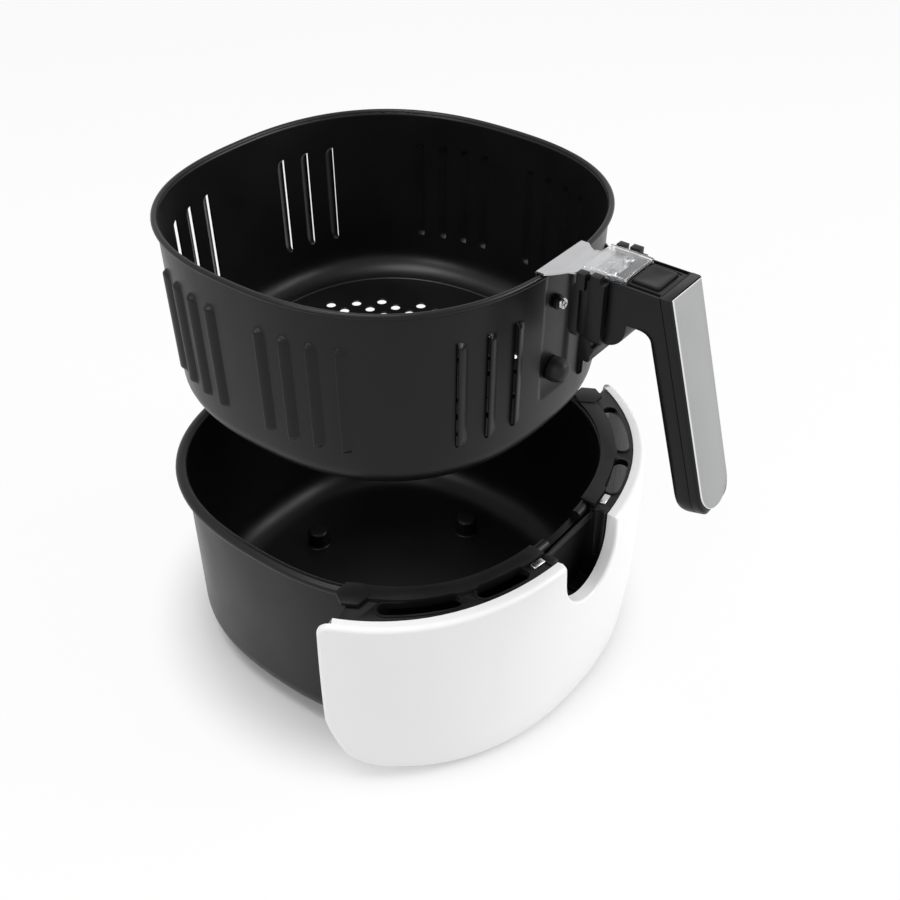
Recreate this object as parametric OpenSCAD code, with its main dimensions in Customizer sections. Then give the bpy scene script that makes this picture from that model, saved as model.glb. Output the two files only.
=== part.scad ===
// Drawer of an air fryer: a deep-drawn pan with its front cover, and the
// slotted basket with its hanging handle, lifted clear of the pan.
// Millimetres. +Z up, the front with the cover and the handle faces -Y.
// The origin is the middle of the pan's base.

/* [Pan] */
// Width over the rim bead
pan_w = 218; // [217:1:220]
// Depth over the rim bead, front to back
pan_d = 224; // [223:1:225]
// Height to the top of the rim
pan_h = 111; // [110:0.5:112]
// Sheet thickness
pan_t = 1; // [0.8:0.1:1.2]
// Radius between floor and wall
pan_floor_r = 20; // [14:1:24]
// Height of the studs that the basket stands over
stud_h = 10.5; // [9:0.5:10.5]

/* [Basket] */
// Width and depth over the rim bead
basket_w = 203; // [202:0.5:204]
// Height to the top of the rim
basket_h = 95; // [94:0.5:95]
// Sheet thickness
basket_t = 0.8; // [0.7:0.1:0.9]
// Radius between floor and wall
basket_floor_r = 14; // [10:1:16]
// Distance between the floor's holes
hole_pitch = 10; // [9:0.5:12]
// Diameter of the floor's holes
hole_d = 5.2; // [4:0.1:6]
// Length of the louvres in the wall
louvre_l = 55; // [40:1:58]
// How far the louvres stand out of the wall
louvre_out = 2.2; // [1:0.1:2.2]
// Height that the basket is lifted out of the pan
lift = 150; // [100:5:200]

/* [Front cover] */
// Wall thickness at the top edge
cover_t = 6; // [5:0.5:6.5]
// Width of the cover, side to side
cover_w = 253; // [248:1:254]
// Width of the handle notch
notch_w = 45; // [45:0.5:47]
// Depth of the handle notch below the top edge
notch_depth = 34.3; // [34:0.1:38]

/* [Handle] */
// Width of the grip
grip_w = 26.4; // [26:0.2:28]
// Distance from the basket's axis to the handle's outer top edge
reach = 157.7; // [157:0.1:160]
// Thickness of the grip, front to back
grip_t = 14; // [13:0.5:15]
// Lean of the grip from the vertical, in degrees
grip_lean = 16.25; // [14:0.25:17]
// Length of the grip along its outer face
grip_l = 105; // [100:1:108]

/* [Moving parts] */
// Travel of the release button
button_travel = 3; // [2.5:0.1:3]
// Travel of the clear guard
guard_travel = 15.5; // [14:0.5:15.5]

/* [Hidden] */

coated_black = "#17181a";
moulded_black = "#1c1d1f";
cover_white = "#eeeeec";
bright_steel = "#b9bcc0";
silver = "#b4b6b8";
rubber_black = "#111111";
clear_guard = [0.85, 0.88, 0.9, 0.45];

gap = 0.3;                        // room between neighbours
over = 1;                         // how far a cutter reaches past a face

// Pan
pan_n = 2.44;                     // squareness of the outline
pan_wall_in = 4.8;                // outer face of the wall, in from the bead
pan_points = 72;
stud_r = 6.5;
stud_circle = 66;
gate_w = 27;                      // gap in the rim for the strap
gate_z = pan_h - 5.5;

// Basket, measured from the top of its rim
basket_n = 2.4;
basket_wall_in = 2;
basket_draft = 1.5;
basket_r = basket_w / 2;
rim_z = pan_t + stud_h + gap + basket_h + lift;
louvre_top = -18;
louvre_w = 5;
side_louvres = [8.6, 15.9, 23.1, 30.4];
end_louvres = [15.4, 23.7, 31.9];
field_x = 60;                     // half axes of the floor's hole field
field_y = 72;
pad_angle = 4.8;                  // half angle of the pressed flat at the front
pad_in = 1.6;
pad_top = -5;
pad_low = -66;
screw_z = -21;
bumper_z = -56;

// Front cover and frame
cover_n = 2.27;
cover_b = 129;                    // half axes of the cover's inner curve
cover_a = 123.1;
cover_top = pan_h - 0.6;
cover_low = 1.7;
cover_span = 64;                  // half angle of the curved slab
frame_span = 60;
frame_top = pan_h - 1;
frame_t = 2.8;
lip_t = 1.2;
skirt_t = 2;
skirt_low = 14;
vents = [[19.5, 29.5], [36.5, 51.5]];
vent_w = 7.7;
boss_angle = 40;
clip_angle = 15;
cover_screw_angles = [-48, -24, 24, 48];
cover_screw_z = 40;
bracket_z = 30;
bracket_y = 8;                    // screw's distance from the pan's wall

// Socket for the handle
socket_x = 21;                    // half width inside
socket_t = 1.4;
socket_low = 62.6;
socket_back = 110.1;              // back wall's front face, low and at the top
socket_back_top = 113.9;

// Handle: distances are from the basket's axis towards the front, heights from the rim
half = grip_w / 2;
lean = tan(grip_lean);
block_back = 114.4;
block_front = 130.2;
block_low = -23.8;
body_back = 130.5;
arm_top = 6.4;
arm_low = -11.6;
bezel_t = 2.8;
bezel_low = arm_top - bezel_t;
split = 4.6;                      // from the outer face to the joint of the grip's halves
plate_sink = 0.6;
plate_out = 0.5;
plate_half = 11.6;
strap_t = 1.2;
strap_top = 4.7;
strap_half = 11.2;
strap_screw = [6.5, 127.2];        // place of the strap's screws: aside, and to the front
rib_half = 17.25;
block_screw = [10.9, -17];         // place of the block's screws: aside, and in height
screw_seat = 117.2;                // where the heads of the block's screws sit
grip_screw_places = [48, 84];      // distances of the grip's screws down from its top
pin_y = 121;
pin_z = -12;
pin_r = 1.5;
hub_r = 2.4;
tab_back = 115.6;
tab_front = 121;
tab_half = 8.1;
tab_low = -39.6;
nose_y = 122.5;
arm_contact = 139.2;              // where the button's stem meets the latch
latch_top = -3.4;
latch_t = 2.4;
latch_half = 3;
button_y = 143.4;
button_l = 12.6;
button_w = 16.2;
button_top = 7.2;
flange = 1;                       // the button's flange, past its sides
flange_top = 3.2;
flange_t = 1.6;
spring_y = 146.4;
spring_r = 2.2;
spring_wire = 0.8;
spring_low = -9.4;
rail_in = 10.4;
rail_out = 12.4;
rail_low = 4.6;
guard_back = 116.1;
guard_l = 20.3;
bezel_end = guard_back + guard_l + guard_travel + 0.6;
guard_half = 12.1;
guard_top = 8.9;
guard_t = 1.3;
guard_low = 5.1;

// ---------- shared shapes ----------

// A point of a rounded-square outline with half axes ax and ay, at angle a.
function outline(ax, ay, n, a) =
    let (k = pow(pow(abs(cos(a)), n) + pow(abs(sin(a)), n), -1 / n))
    [ax * k * cos(a), ay * k * sin(a)];

// The direction out of that outline at point p.
function outward(p, ax, ay, n) =
    let (g = [sign(p.x) * pow(abs(p.x) / ax, n - 1) / ax, sign(p.y) * pow(abs(p.y) / ay, n - 1) / ay])
    g / norm(g);

function arc(c, r, from, to, steps) =
    [for (k = [0:steps]) let (a = from + (to - from) * k / steps) c + r * [cos(a), sin(a)]];

// A closed skin through rings of points. Each ring runs anticlockwise seen from above.
module skin(rings) {
    n = len(rings[0]);
    m = len(rings);
    sides = [for (j = [0:m - 2], i = [0:n - 1])
        let (k = (i + 1) % n) [j * n + i, (j + 1) * n + i, (j + 1) * n + k, j * n + k]];
    ends = [[for (i = [0:n - 1]) i], [for (i = [n - 1:-1:0]) (m - 1) * n + i]];
    polyhedron([for (ring = rings, p = ring) p], concat(sides, ends), convexity = 6);
}

// Extrudes a side view, drawn as [distance to the front, height], across width w.
module side_view(w) {
    mirror([0, 1, 0]) rotate([90, 0, 90]) linear_extrude(height = w, center = true) children();
}

// A block in the side view, between two distances and two heights.
module side_block(y0, y1, z0, z1, w) {
    translate([-w / 2, -y1, z0]) cube([w, y1 - y0, z1 - z0]);
}

// A round bar across the width.
module cross_bar(r, w, y, z) {
    translate([0, -y, z]) rotate([0, 90, 0]) cylinder(r = r, h = w, center = true, $fn = 32);
}

// A round bar towards the front, from distance y0 to y1.
module front_bar(r, y0, y1, x, z) {
    translate([x, -y0, z]) rotate([90, 0, 0]) cylinder(r = r, h = y1 - y0, $fn = 32);
}

module both_sides() {
    children();
    mirror([1, 0, 0]) children();
}

module on_basket() {
    translate([0, 0, rim_z]) children();
}

// The grip's own frame: +Y runs into the grip, -Z down along its outer face.
module on_grip() {
    translate([0, -reach, arm_top]) rotate([-grip_lean, 0, 0]) children();
}

// A screw along +Z: its head sits on z = 0 and has a cross recess.
module screw(head_r, head_h, shank_r, shank_l) {
    recess = 0.6;
    difference() {
        cylinder(r1 = head_r, r2 = head_r * 0.8, h = head_h, $fn = 32);
        for (a = [0, 90])
            rotate(a) translate([-head_r / 2, -recess / 2, head_h / 2]) cube([head_r, recess, head_h]);
    }
    translate([0, 0, -shank_l]) cylinder(r = shank_r, h = shank_l + recess / 4, $fn = 32);
}

// ---------- drawn shells ----------

// Section of a drawn shell, as [inset, height]: up the outside, round the bead, down the inside.
// The levels are heights in the wall that need a ring of their own.
function shell_section(h, t, r, wall_in, draft, levels) =
    let (b = (wall_in + t) / 2,
         foot = wall_in + draft + r,
         under = -acos((wall_in - b) / b),
         face = [for (z = levels) [wall_in + draft * (h - z) / (h - r), z]])
    concat(
        arc([foot, r], r, 270, 180, 5),
        face,
        arc([b, h - b], b, under, -360, 8),
        [for (k = [len(face) - 1:-1:0]) face[k] + [t, 0]],
        arc([foot, r], r - t, 180, 270, 5));

module pan_shell() {
    section = shell_section(pan_h, pan_t, pan_floor_r, pan_wall_in, 0, []);
    color(coated_black) difference() {
        skin([for (s = section) [for (i = [0:pan_points - 1])
            let (p = outline(pan_w / 2 - s[0], pan_d / 2 - s[0], pan_n, 360 * i / pan_points))
            [p.x, p.y, s[1]]]]);
        translate([-gate_w / 2, -pan_d / 2 - over, gate_z]) cube([gate_w, 12, 10]);
    }
}

module pan_studs() {
    chamfer = 1.5;
    color(coated_black) for (a = [0:90:270])
        rotate(a) translate([stud_circle, 0, pan_t]) {
            cylinder(r = stud_r, h = stud_h - chamfer, $fn = 40);
            translate([0, 0, stud_h - chamfer])
                cylinder(r1 = stud_r, r2 = stud_r - chamfer, h = chamfer, $fn = 40);
        }
}

// Angles round the basket, closer together at the pressed flat.
pad_edge = pad_angle + 1.7;
basket_angles = concat(
    [for (a = [-80:5:260]) a],
    [270 - pad_edge, 270 - pad_angle, 270 + pad_angle, 270 + pad_edge]);

// The pressed flat's share of a point at angle a and height z below the rim.
function pad_share(a, z) =
    abs(a - 270) < pad_edge - 0.1 && z < pad_top + 0.1 && z > pad_low - 0.1 ? pad_in : 0;

// A louvre: it grows out of the wall along one long edge and stands open along the other.
module louvre() {
    // Place along the slot, and the share of the full height there
    bulges = [[-1, 0.1], [-0.95, 0.6], [-0.86, 1], [0.86, 1], [0.95, 0.6], [1, 0.1]];
    profile = [[0, 0], [0.22, 0.35], [0.55, 0.8], [1, 1]];
    root = -0.3;
    foot = -0.6;
    rise = louvre_out - root;
    skin([for (b = bulges) let (z = b[0] * louvre_l / 2) concat(
        [for (q = profile) [(q[0] - 0.5) * louvre_w, foot + 0.8 * rise * b[1] * q[1], z]],
        [for (i = [len(profile) - 1:-1:0]) let (q = profile[i])
            [(q[0] - 0.5) * louvre_w, root + rise * b[1] * q[1], z]])]);
}

// Puts a louvre's frame on the basket's wall at angle a: +Y points out, the middle is the louvre's.
module on_wall(a) {
    slope = atan(basket_draft / (basket_h - basket_floor_r));
    mid = basket_r - basket_wall_in + tan(slope) * (louvre_top - louvre_l / 2);
    p = outline(mid, mid, basket_n, a);
    m = outward(p, mid, mid, basket_n);
    translate([p.x, p.y, louvre_top - louvre_l / 2])
        rotate(atan2(m.y, m.x) - 90) rotate([-slope, 0, 0]) children();
}

louvre_angles = concat(
    [for (c = [0, 180], side = [-1, 1], a = side_louvres) c + side * a],
    [for (c = [90, 270], side = [-1, 1], a = end_louvres) c + side * a]);

module floor_holes() {
    for (i = [-5.5:5.5], j = [-6.5:6.5])
        if (pow(i * hole_pitch / field_x, 2) + pow(j * hole_pitch / field_y, 2) <= 1)
            translate([i * hole_pitch, j * hole_pitch, -basket_h - over])
                cylinder(d = hole_d, h = basket_t + 2 * over, $fn = 16);
}

module basket_shell() {
    blend = 3;
    levels = [for (z = [pad_low - blend, pad_low, pad_top, pad_top + blend / 2]) basket_h + z];
    section = shell_section(basket_h, basket_t, basket_floor_r, basket_wall_in, basket_draft, levels);
    color(coated_black) on_basket() {
        difference() {
            skin([for (s = section) [for (a = basket_angles)
                let (z = s[1] - basket_h,
                     p = outline(basket_r - s[0], basket_r - s[0], basket_n, a))
                [p.x, p.y + pad_share(a, z), z]]]);
            floor_holes();
            for (a = louvre_angles)
                on_wall(a) translate([-louvre_w / 3, -2, 2 - louvre_l / 2])
                    cube([louvre_w * 0.75, 3, louvre_l - 4]);
            front_bar(1.6, 90, basket_r, 0, screw_z);
            front_bar(2.1, 90, basket_r, 0, bumper_z);
        }
        for (a = louvre_angles) on_wall(a) louvre();
    }
}

// ---------- front cover ----------

// A point of the cover's inner curve at angle a from the front, pushed out by d.
function cover_point(a, d) =
    let (p = outline(cover_b, cover_a, cover_n, a - 90)) p + d * outward(p, cover_b, cover_a, cover_n);

// A point of the pan's rim at angle a from the front, moved in by d.
function rim_point(a, d) = outline(pan_w / 2 - d, pan_d / 2 - d, pan_n, a - 90);

// Thickness of the cover at height z: fullest in the upper third, drawn in below.
function cover_depth(z) = cover_t + 1.2 - 3.7 * pow((cover_top - 40 - z) / 67, 2);

// Front view of the cover: straight shoulders, sides that draw in below, a shallow bowed sole.
module cover_outline() {
    shoulder_r = 6;
    shoulder_z = 62;
    side_r = 154;
    sweep = 16;
    corner_r = 14;
    sole_r = 800;
    w = cover_w / 2;
    foot = [w - side_r * (1 - cos(sweep)), shoulder_z - side_r * sin(sweep)];
    corner = foot - corner_r * [cos(sweep), -sin(sweep)];
    right = concat(
        arc([0, cover_low + sole_r], sole_r, 270, 270 + asin(corner.x / sole_r), 8),
        arc(corner, corner_r, asin(corner.x / sole_r) - 84, -sweep, 7),
        arc([w - side_r, shoulder_z], side_r, -sweep + 2, 0, 7),
        arc([w - shoulder_r, cover_top + gap - shoulder_r], shoulder_r, 0, 90, 6));
    polygon(concat(right, [for (i = [len(right) - 1:-1:1]) [-right[i].x, right[i].y]]));
}

// The handle's notch, seen from the front: straight sides and a round bottom.
module notch_outline() {
    r = notch_w / 2;
    mid = cover_top - notch_depth + r;
    translate([0, mid]) circle(r = r, $fn = 64);
    translate([-r, mid]) square([notch_w, notch_depth]);
}

// Puts a frame on the inner face of the frame's skirt at angle a: +Y points out.
module on_skirt(a, z) {
    p = cover_point(a, -gap - skirt_t);
    m = outward(p, cover_b, cover_a, cover_n);
    translate([p.x, p.y, z]) rotate(atan2(m.y, m.x) - 90) children();
}

module front_cover() {
    steps = 44;
    low = cover_low - over;
    straight = cover_top - 2.4 - low;
    // Heights up the outer face, with how far the top edge is rounded off there
    face = concat([for (k = [0:8]) [low + straight * k / 8, 0]], [[cover_top - 0.8, 0.7], [cover_top, 2.4]]);
    color(cover_white) difference() {
        intersection() {
            skin([for (k = [0:steps]) let (a = cover_span * (2 * k / steps - 1)) concat(
                [for (z = [low, cover_top]) let (p = cover_point(a, 0)) [p.x, p.y, z]],
                [for (i = [len(face) - 1:-1:0])
                    let (f = face[i], p = cover_point(a, cover_depth(f[0]) - f[1])) [p.x, p.y, f[0]]])]);
            rotate([90, 0, 0]) linear_extrude(height = 200) cover_outline();
        }
        rotate([90, 0, 0]) linear_extrude(height = 200) notch_outline();
        for (a = cover_screw_angles)
            on_skirt(a, cover_screw_z) rotate([-90, 0, 0]) cylinder(r = 1.5, h = 6.2, $fn = 24);
    }
}

module cover_screws() {
    color(bright_steel) for (a = cover_screw_angles)
        on_skirt(a, cover_screw_z) translate([0, -0.12, 0]) rotate([90, 0, 0]) screw(3, 1.8, 1.4, 6);
}

// ---------- front frame ----------

// Plan band between the pan's rim and the cover, moved in at the rim and at the cover.
module crescent(rim_in, cover_in, span) {
    steps = 36;
    angles = [for (k = [0:steps]) span * (2 * k / steps - 1)];
    polygon(concat(
        [for (a = angles) cover_point(a, -cover_in)],
        [for (i = [steps:-1:0]) rim_point(angles[i], rim_in)]));
}

function vent_mid(a) = (rim_point(a, 0) + cover_point(a, 0)) / 2;
function vent_heading(a) = let (d = vent_mid(a + 0.5) - vent_mid(a - 0.5)) atan2(d.y, d.x);

// Plan of an air slot with round ends.
module vent(from, to, w) {
    steps = 5;
    angles = [for (k = [0:steps]) from + (to - from) * k / steps];
    h0 = vent_heading(from);
    h1 = vent_heading(to);
    polygon(concat(
        [for (a = angles) let (h = vent_heading(a)) vent_mid(a) + w / 2 * [sin(h), -cos(h)]],
        arc(vent_mid(to), w / 2, h1 - 60, h1 + 60, 4),
        [for (i = [steps:-1:0]) let (h = vent_heading(angles[i]))
            vent_mid(angles[i]) - w / 2 * [sin(h), -cos(h)]],
        arc(vent_mid(from), w / 2, h0 + 120, h0 + 240, 4)));
}

module all_vents(w) {
    for (side = [0, 1], v = vents) mirror([side, 0]) vent(v[0], v[1], w);
}

// Puts a frame on the pan's wall at angle a from the front: +Y points out.
module on_pan_wall(a, z) {
    p = rim_point(a, pan_wall_in);
    m = outward(p, pan_w / 2, pan_d / 2, pan_n);
    translate([p.x, p.y, z]) rotate(atan2(m.y, m.x) - 90) children();
}

// Screw posts that grow out of the frame's skirt.
module frame_posts() {
    post_w = 9;
    for (a = [-boss_angle, boss_angle]) intersection() {
        on_pan_wall(a, bracket_z + 1.8)
            translate([-post_w / 2, bracket_y - post_w / 2, 0]) cube([post_w, 20, 24]);
        linear_extrude(height = pan_h) crescent(-1, gap + skirt_t / 2, cover_span);
    }
}

module front_frame() {
    plate_low = frame_top - frame_t;
    tab_r = 8;
    color(moulded_black) difference() {
        union() {
            translate([0, 0, plate_low]) linear_extrude(height = frame_t) crescent(-gap, gap, frame_span);
            // Wall and lip that reach over the pan's rim
            translate([0, 0, plate_low]) linear_extrude(height = pan_h + gap + lip_t - plate_low)
                difference() {
                    crescent(-gap, 1, frame_span);
                    crescent(-3, -30, frame_span + 10);
                }
            translate([0, 0, pan_h + gap]) linear_extrude(height = lip_t) difference() {
                crescent(5.2, 1, frame_span);
                crescent(-3, -30, frame_span + 10);
            }
            translate([0, 0, frame_top - 0.5]) linear_extrude(height = 1.4) all_vents(vent_w + 2);
            translate([0, 0, skirt_low]) linear_extrude(height = plate_low - skirt_low + 0.5) difference() {
                crescent(50, gap, frame_span - 4);
                crescent(60, gap + skirt_t, frame_span + 10);
            }
            for (a = [-frame_span, frame_span]) {
                p = rim_point(a, -2);
                translate([p.x, p.y, pan_h + gap]) rotate(a) cylinder(r = tab_r, h = lip_t + 0.6, $fn = 6);
            }
            frame_posts();
        }
        translate([0, 0, plate_low - over]) linear_extrude(height = frame_t + 4) all_vents(vent_w);
        // Room for the handle's socket
        translate([-socket_x - socket_t - gap, -cover_a - 10, socket_low - gap])
            cube([2 * (socket_x + socket_t + gap), 40, pan_h]);
        for (a = [-boss_angle, boss_angle])
            on_pan_wall(a, bracket_z) translate([0, bracket_y, 0]) cylinder(r = 1.5, h = 14, $fn = 24);
        for (a = cover_screw_angles)
            on_skirt(a, cover_screw_z) rotate([-90, 0, 0])
                translate([0, 0, -over]) cylinder(r = 1.5, h = 4, $fn = 24);
    }
}

// Bent brackets on the pan's wall, under the frame's posts.
module pan_brackets() {
    sheet = 1.5;
    w = 14;
    color(bright_steel) for (a = [-boss_angle, boss_angle])
        on_pan_wall(a, bracket_z) difference() {
            union() {
                translate([-w / 2, 0.2, 0]) cube([w, sheet, 26]);
                translate([-w / 2, 0.2, 0]) cube([w, bracket_y + 4, sheet]);
            }
            translate([0, bracket_y, -over]) cylinder(r = 1.5, h = 4, $fn = 24);
        }
}

module bracket_screws() {
    color(bright_steel) for (a = [-boss_angle, boss_angle])
        on_pan_wall(a, bracket_z) translate([0, bracket_y, 0]) mirror([0, 0, 1]) screw(3, 2, 1.4, 12);
}

// Bent clips on the frame, beside the socket.
module rim_clips() {
    color(bright_steel) for (a = [-clip_angle, clip_angle]) {
        p = rim_point(a, -5.4);
        m = outward(p, pan_w / 2, pan_d / 2, pan_n);
        translate([p.x, p.y, frame_top]) rotate(atan2(m.y, m.x) - 90) difference() {
            translate([-3.7, -1.7, 0]) cube([7.4, 3.4, 1.9]);
            translate([-2.1, -over - 1.7, -over]) cube([4.2, 5.4, 2]);
        }
    }
}

// ---------- handle socket ----------

module handle_socket() {
    floor_t = 1.4;
    knee = 100;
    w = 2 * (socket_x + socket_t);
    front = cover_a - 1.8;
    back_top = frame_top - 1.7;       // under the strap, when the basket is seated
    groove_y = 116.5;
    color(moulded_black) difference() {
        union() {
            side_view(w) polygon([
                [socket_back - 1.2, socket_low], [socket_back, socket_low], [socket_back, knee],
                [socket_back_top, knee + 4], [socket_back_top, back_top], [socket_back_top - 1.2, back_top],
                [socket_back_top - 1.2, knee + 4.5], [socket_back - 1.2, knee + 0.5]]);
            side_block(socket_back - 1.2, front, socket_low, socket_low + floor_t, w);
            both_sides() translate([socket_x, -front, socket_low])
                cube([socket_t, front - socket_back + 1.2, frame_top - socket_low]);
            // Two ribs across the floor
            both_sides() translate([6, -front, socket_low]) cube([1.2, front - socket_back + 1, floor_t + 2.5]);
            // Flanges on top of the frame
            both_sides() translate([socket_x, -front, frame_top])
                cube([5.2, front - socket_back_top - 0.6, 1]);
        }
        // Guide groove in one cheek
        translate([socket_x - over, -groove_y - 3, socket_low + 18]) cube([over + 0.8, 3, 60]);
        // Room for the pan's rim bead
        both_sides() translate([gate_w / 2 - over, -pan_d / 2 - gap, gate_z - 1.2]) cube([20, 20, 20]);
    }
}

// ---------- pieces on the basket's front ----------

module rim_strap() {
    inner = 96.5;
    low_inner = 95;
    path = [[low_inner, -29], [low_inner, -4.2], [inner, -1.6], [inner, 0.4], [inner + 1, 1.4], [104, 1.5],
        [107, 1.9], [110, 3.1], [112, 3.2], [115, strap_top], [block_front, strap_top]];
    under = [[block_front, strap_top - strap_t], [115.4, strap_top - strap_t], [112.3, 2], [109.6, 1.9],
        [106.6, 0.7], [103.8, 0.3], [98.2, 0.2], [inner + strap_t, -0.3], [inner + strap_t, -2],
        [low_inner + strap_t, -4.6], [low_inner + strap_t, -29]];
    color(bright_steel) on_basket() difference() {
        intersection() {
            side_view(40) polygon(concat(path, under));
            union() {
                // Plan of the part above the rim
                translate([0, 0, -6]) mirror([0, 1, 0]) linear_extrude(height = 20) polygon([
                    [-17.2, 90], [17.2, 90], [17.2, 101.5], [12.6, 106], [strap_half, 113], [strap_half, 140],
                    [-strap_half, 140], [-strap_half, 113], [-12.6, 106], [-17.2, 101.5]]);
                // Tongue down the inside of the wall
                rotate([90, 0, 0]) linear_extrude(height = 104) polygon(concat(
                    [[10, 0]], [[-10, 0]], arc([0, screw_z + 2], 10, 180, 360, 10)));
            }
        }
        front_bar(1.6, 90, 100, 0, screw_z);
        both_sides() translate([strap_screw.x, -strap_screw.y, 0]) cylinder(r = 1.5, h = 10, $fn = 24);
    }
}

module wall_screw() {
    color(bright_steel) on_basket() translate([0, -99.9, screw_z]) rotate([90, 0, 0]) screw(2.8, 2, 1.5, 6);
}

module wall_spacer() {
    color(rubber_black) on_basket() difference() {
        front_bar(3.4, 97.7, 99.85, 0, screw_z);
        front_bar(1.6, 97, 101, 0, screw_z);
    }
}

// Rubber bumper with a stem through the wall and a flange inside it.
module wall_bumper() {
    tip = 105.7;
    r = 6;
    color(rubber_black) on_basket() translate([0, 0, bumper_z]) rotate([90, 0, 0]) rotate_extrude($fn = 40)
        polygon(concat(
            [[0, 94.3], [3.4, 94.3], [4, 94.9], [4, 95.7], [2, 95.7], [2, 97.2], [r - 0.6, 97.2], [r, 98]],
            [[r, 101]], arc([r - 3.2, tip - 3], 3, 20, 90, 4), [[0, tip]]));
}

// ---------- handle ----------

module block_form() {
    steps = [[block_back, -21.6], [block_back + 1.4, block_low], [block_front, block_low],
        [block_front, arm_top], [123, arm_top], [123, 5.8], [119, 5.8], [119, 2.4], [115.6, 2.4],
        [block_back, 1.2]];
    side_view(grip_w) polygon(steps);
    // Ribs, with their lower corners cut off to pass the round end of the cover's notch
    corner = rib_half + 0.75;
    intersection() {
        union() {
            side_view(2 * rib_half) polygon([[block_back, -19], [116, -22.7], [118.8, -22.7],
                [118.8, 2.4], [116.2, 2.4], [block_back, -0.8]]);
            side_view(2 * rib_half - 4) polygon([[118, -22], [124, -22], [124, 4.2], [118, 4.2]]);
            side_view(2 * rib_half) polygon([[123, -20.8], [125, block_low], [block_front, block_low],
                [block_front, 5.2], [123, 5.2]]);
        }
        rotate([90, 0, 0]) linear_extrude(height = 200) polygon([[-corner, 20],
            [-corner, block_low + 3], [4 - corner, block_low - 1], [corner - 4, block_low - 1],
            [corner, block_low + 3], [corner, 20]]);
    }
    // Raised teeth on both sides of the guard
    both_sides() for (t = [[116.8, 4.2, 7.4], [123.4, 4.6, 8.1]])
        translate([half + 0.3, -t[0] - t[1], 0]) cube([rib_half - half - 0.3, t[1], t[2]]);
}

module handle_block() {
    color(moulded_black) on_basket() difference() {
        block_form();
        // Bed of the strap, and the guard's grooves
        side_block(block_back - over, block_front + over, strap_top - strap_t - 0.1, 20, 2 * strap_half + 0.4);
        both_sides() translate([rail_in, -block_front - over, rail_low]) cube([rail_out - rail_in, 20, 9]);
        // Room for the latch: its tab, its hub and spring, and its arm
        side_block(block_back - over, 124.9, block_low - over, -12.8, 2 * tab_half + 0.8);
        side_block(116.8, 125.2, -14, -7.8, 2 * tab_half + 0.8);
        side_block(117.2, block_front + over, -10, -2.4, 2 * latch_half + 1);
        cross_bar(pin_r + 0.05, 25, pin_y, pin_z);
        both_sides() {
            translate([strap_screw.x, -strap_screw.y, -5]) cylinder(r = 1.4, h = 10, $fn = 24);
            front_bar(1.4, 110, 140, block_screw.x, block_screw.y);
            front_bar(2.5, 110, screw_seat, block_screw.x, block_screw.y);
        }
    }
}

// Side view of the grip in its own frame: into the grip, and up along its outer face.
module grip_side() {
    outer_r = 6;
    inner_r = 7.6;
    polygon(concat(
        [[0, 20]],
        arc([outer_r, outer_r - grip_l], outer_r, 180, 270, 6),
        arc([grip_t - inner_r, inner_r - grip_l], inner_r, 270, 360, 8),
        [[grip_t, 20]]));
}

// The whole grip: a rounded bar with a round end.
module grip_form() {
    back_r = 5;
    face_r = 1.6;
    end_r = 12;
    wide = half + 0.4;
    on_grip() intersection() {
        rotate([90, 0, 90]) linear_extrude(height = 2 * grip_w, center = true) grip_side();
        translate([0, 0, -grip_l - 2 * over]) linear_extrude(height = grip_l + 25) polygon(concat(
            arc([half - face_r, face_r], face_r, 270, 360, 4),
            arc([half - back_r, grip_t - back_r], back_r, 0, 90, 6),
            arc([back_r - half, grip_t - back_r], back_r, 90, 180, 6),
            arc([face_r - half, face_r], face_r, 180, 270, 4)));
        translate([0, 30, 0]) rotate([90, 0, 0]) linear_extrude(height = 60) polygon(concat(
            [[wide, 30], [-wide, 30]],
            arc([end_r - wide, end_r - grip_l - over], end_r, 180, 270, 8),
            arc([wide - end_r, end_r - grip_l - over], end_r, 270, 360, 8)));
    }
}

module grip_screw_holes(r, deep) {
    for (u = grip_screw_places) on_grip() translate([0, deep, -u]) rotate([-90, 0, 0]) cylinder(r = r, h = 30, $fn = 32);
}

module handle_body() {
    fillet_r = 8;
    fillet_z = arm_low - fillet_r;
    fillet_y = reach + lean * (arm_top - fillet_z) - (grip_t + fillet_r) / cos(grip_lean);
    cheek_y = 139.4;
    cheek_r = 9.4;
    color(moulded_black) on_basket() difference() {
        union() {
            intersection() {
                grip_form();
                on_grip() translate([-grip_w, split, -2 * grip_l]) cube([2 * grip_w, 2 * grip_t, 3 * grip_l]);
                translate([-grip_w, -2 * reach, -2 * grip_l]) cube([2 * grip_w, 2 * reach, 2 * grip_l + bezel_low]);
            }
            side_block(body_back, 152, arm_low, bezel_low, grip_w);
            side_view(grip_w) polygon(concat(
                [[body_back, bezel_low], [body_back, block_low]],
                arc([cheek_y - cheek_r, block_low + cheek_r], cheek_r, 280, 360, 8),
                [[cheek_y, bezel_low]]));
            // Inner curve between the arm and the grip
            side_view(grip_w - 4) polygon(concat(
                [[fillet_y, arm_low + 2]],
                arc([fillet_y, fillet_z], fillet_r, 90, grip_lean, 8),
                [[156, fillet_z], [156, arm_low + 2]]));
        }
        // Room for the latch's arm and the button's stem
        side_block(body_back - over, 142.2, spring_low, 20, 2 * latch_half + 1);
        // Room for the button's flange, and for its spring
        side_block(button_y - button_l / 2 - flange - gap, button_y + button_l / 2 + flange + gap,
            flange_top - flange_t - button_travel - 0.4, 20, button_w + 2 * (flange + gap));
        translate([0, -spring_y, spring_low]) cylinder(r = 3.1, h = 20, $fn = 32);
        both_sides() front_bar(1.4, 130, 137, block_screw.x, block_screw.y);
        grip_screw_holes(3.1, 8);
        grip_screw_holes(1.6, 0);
    }
}

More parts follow.
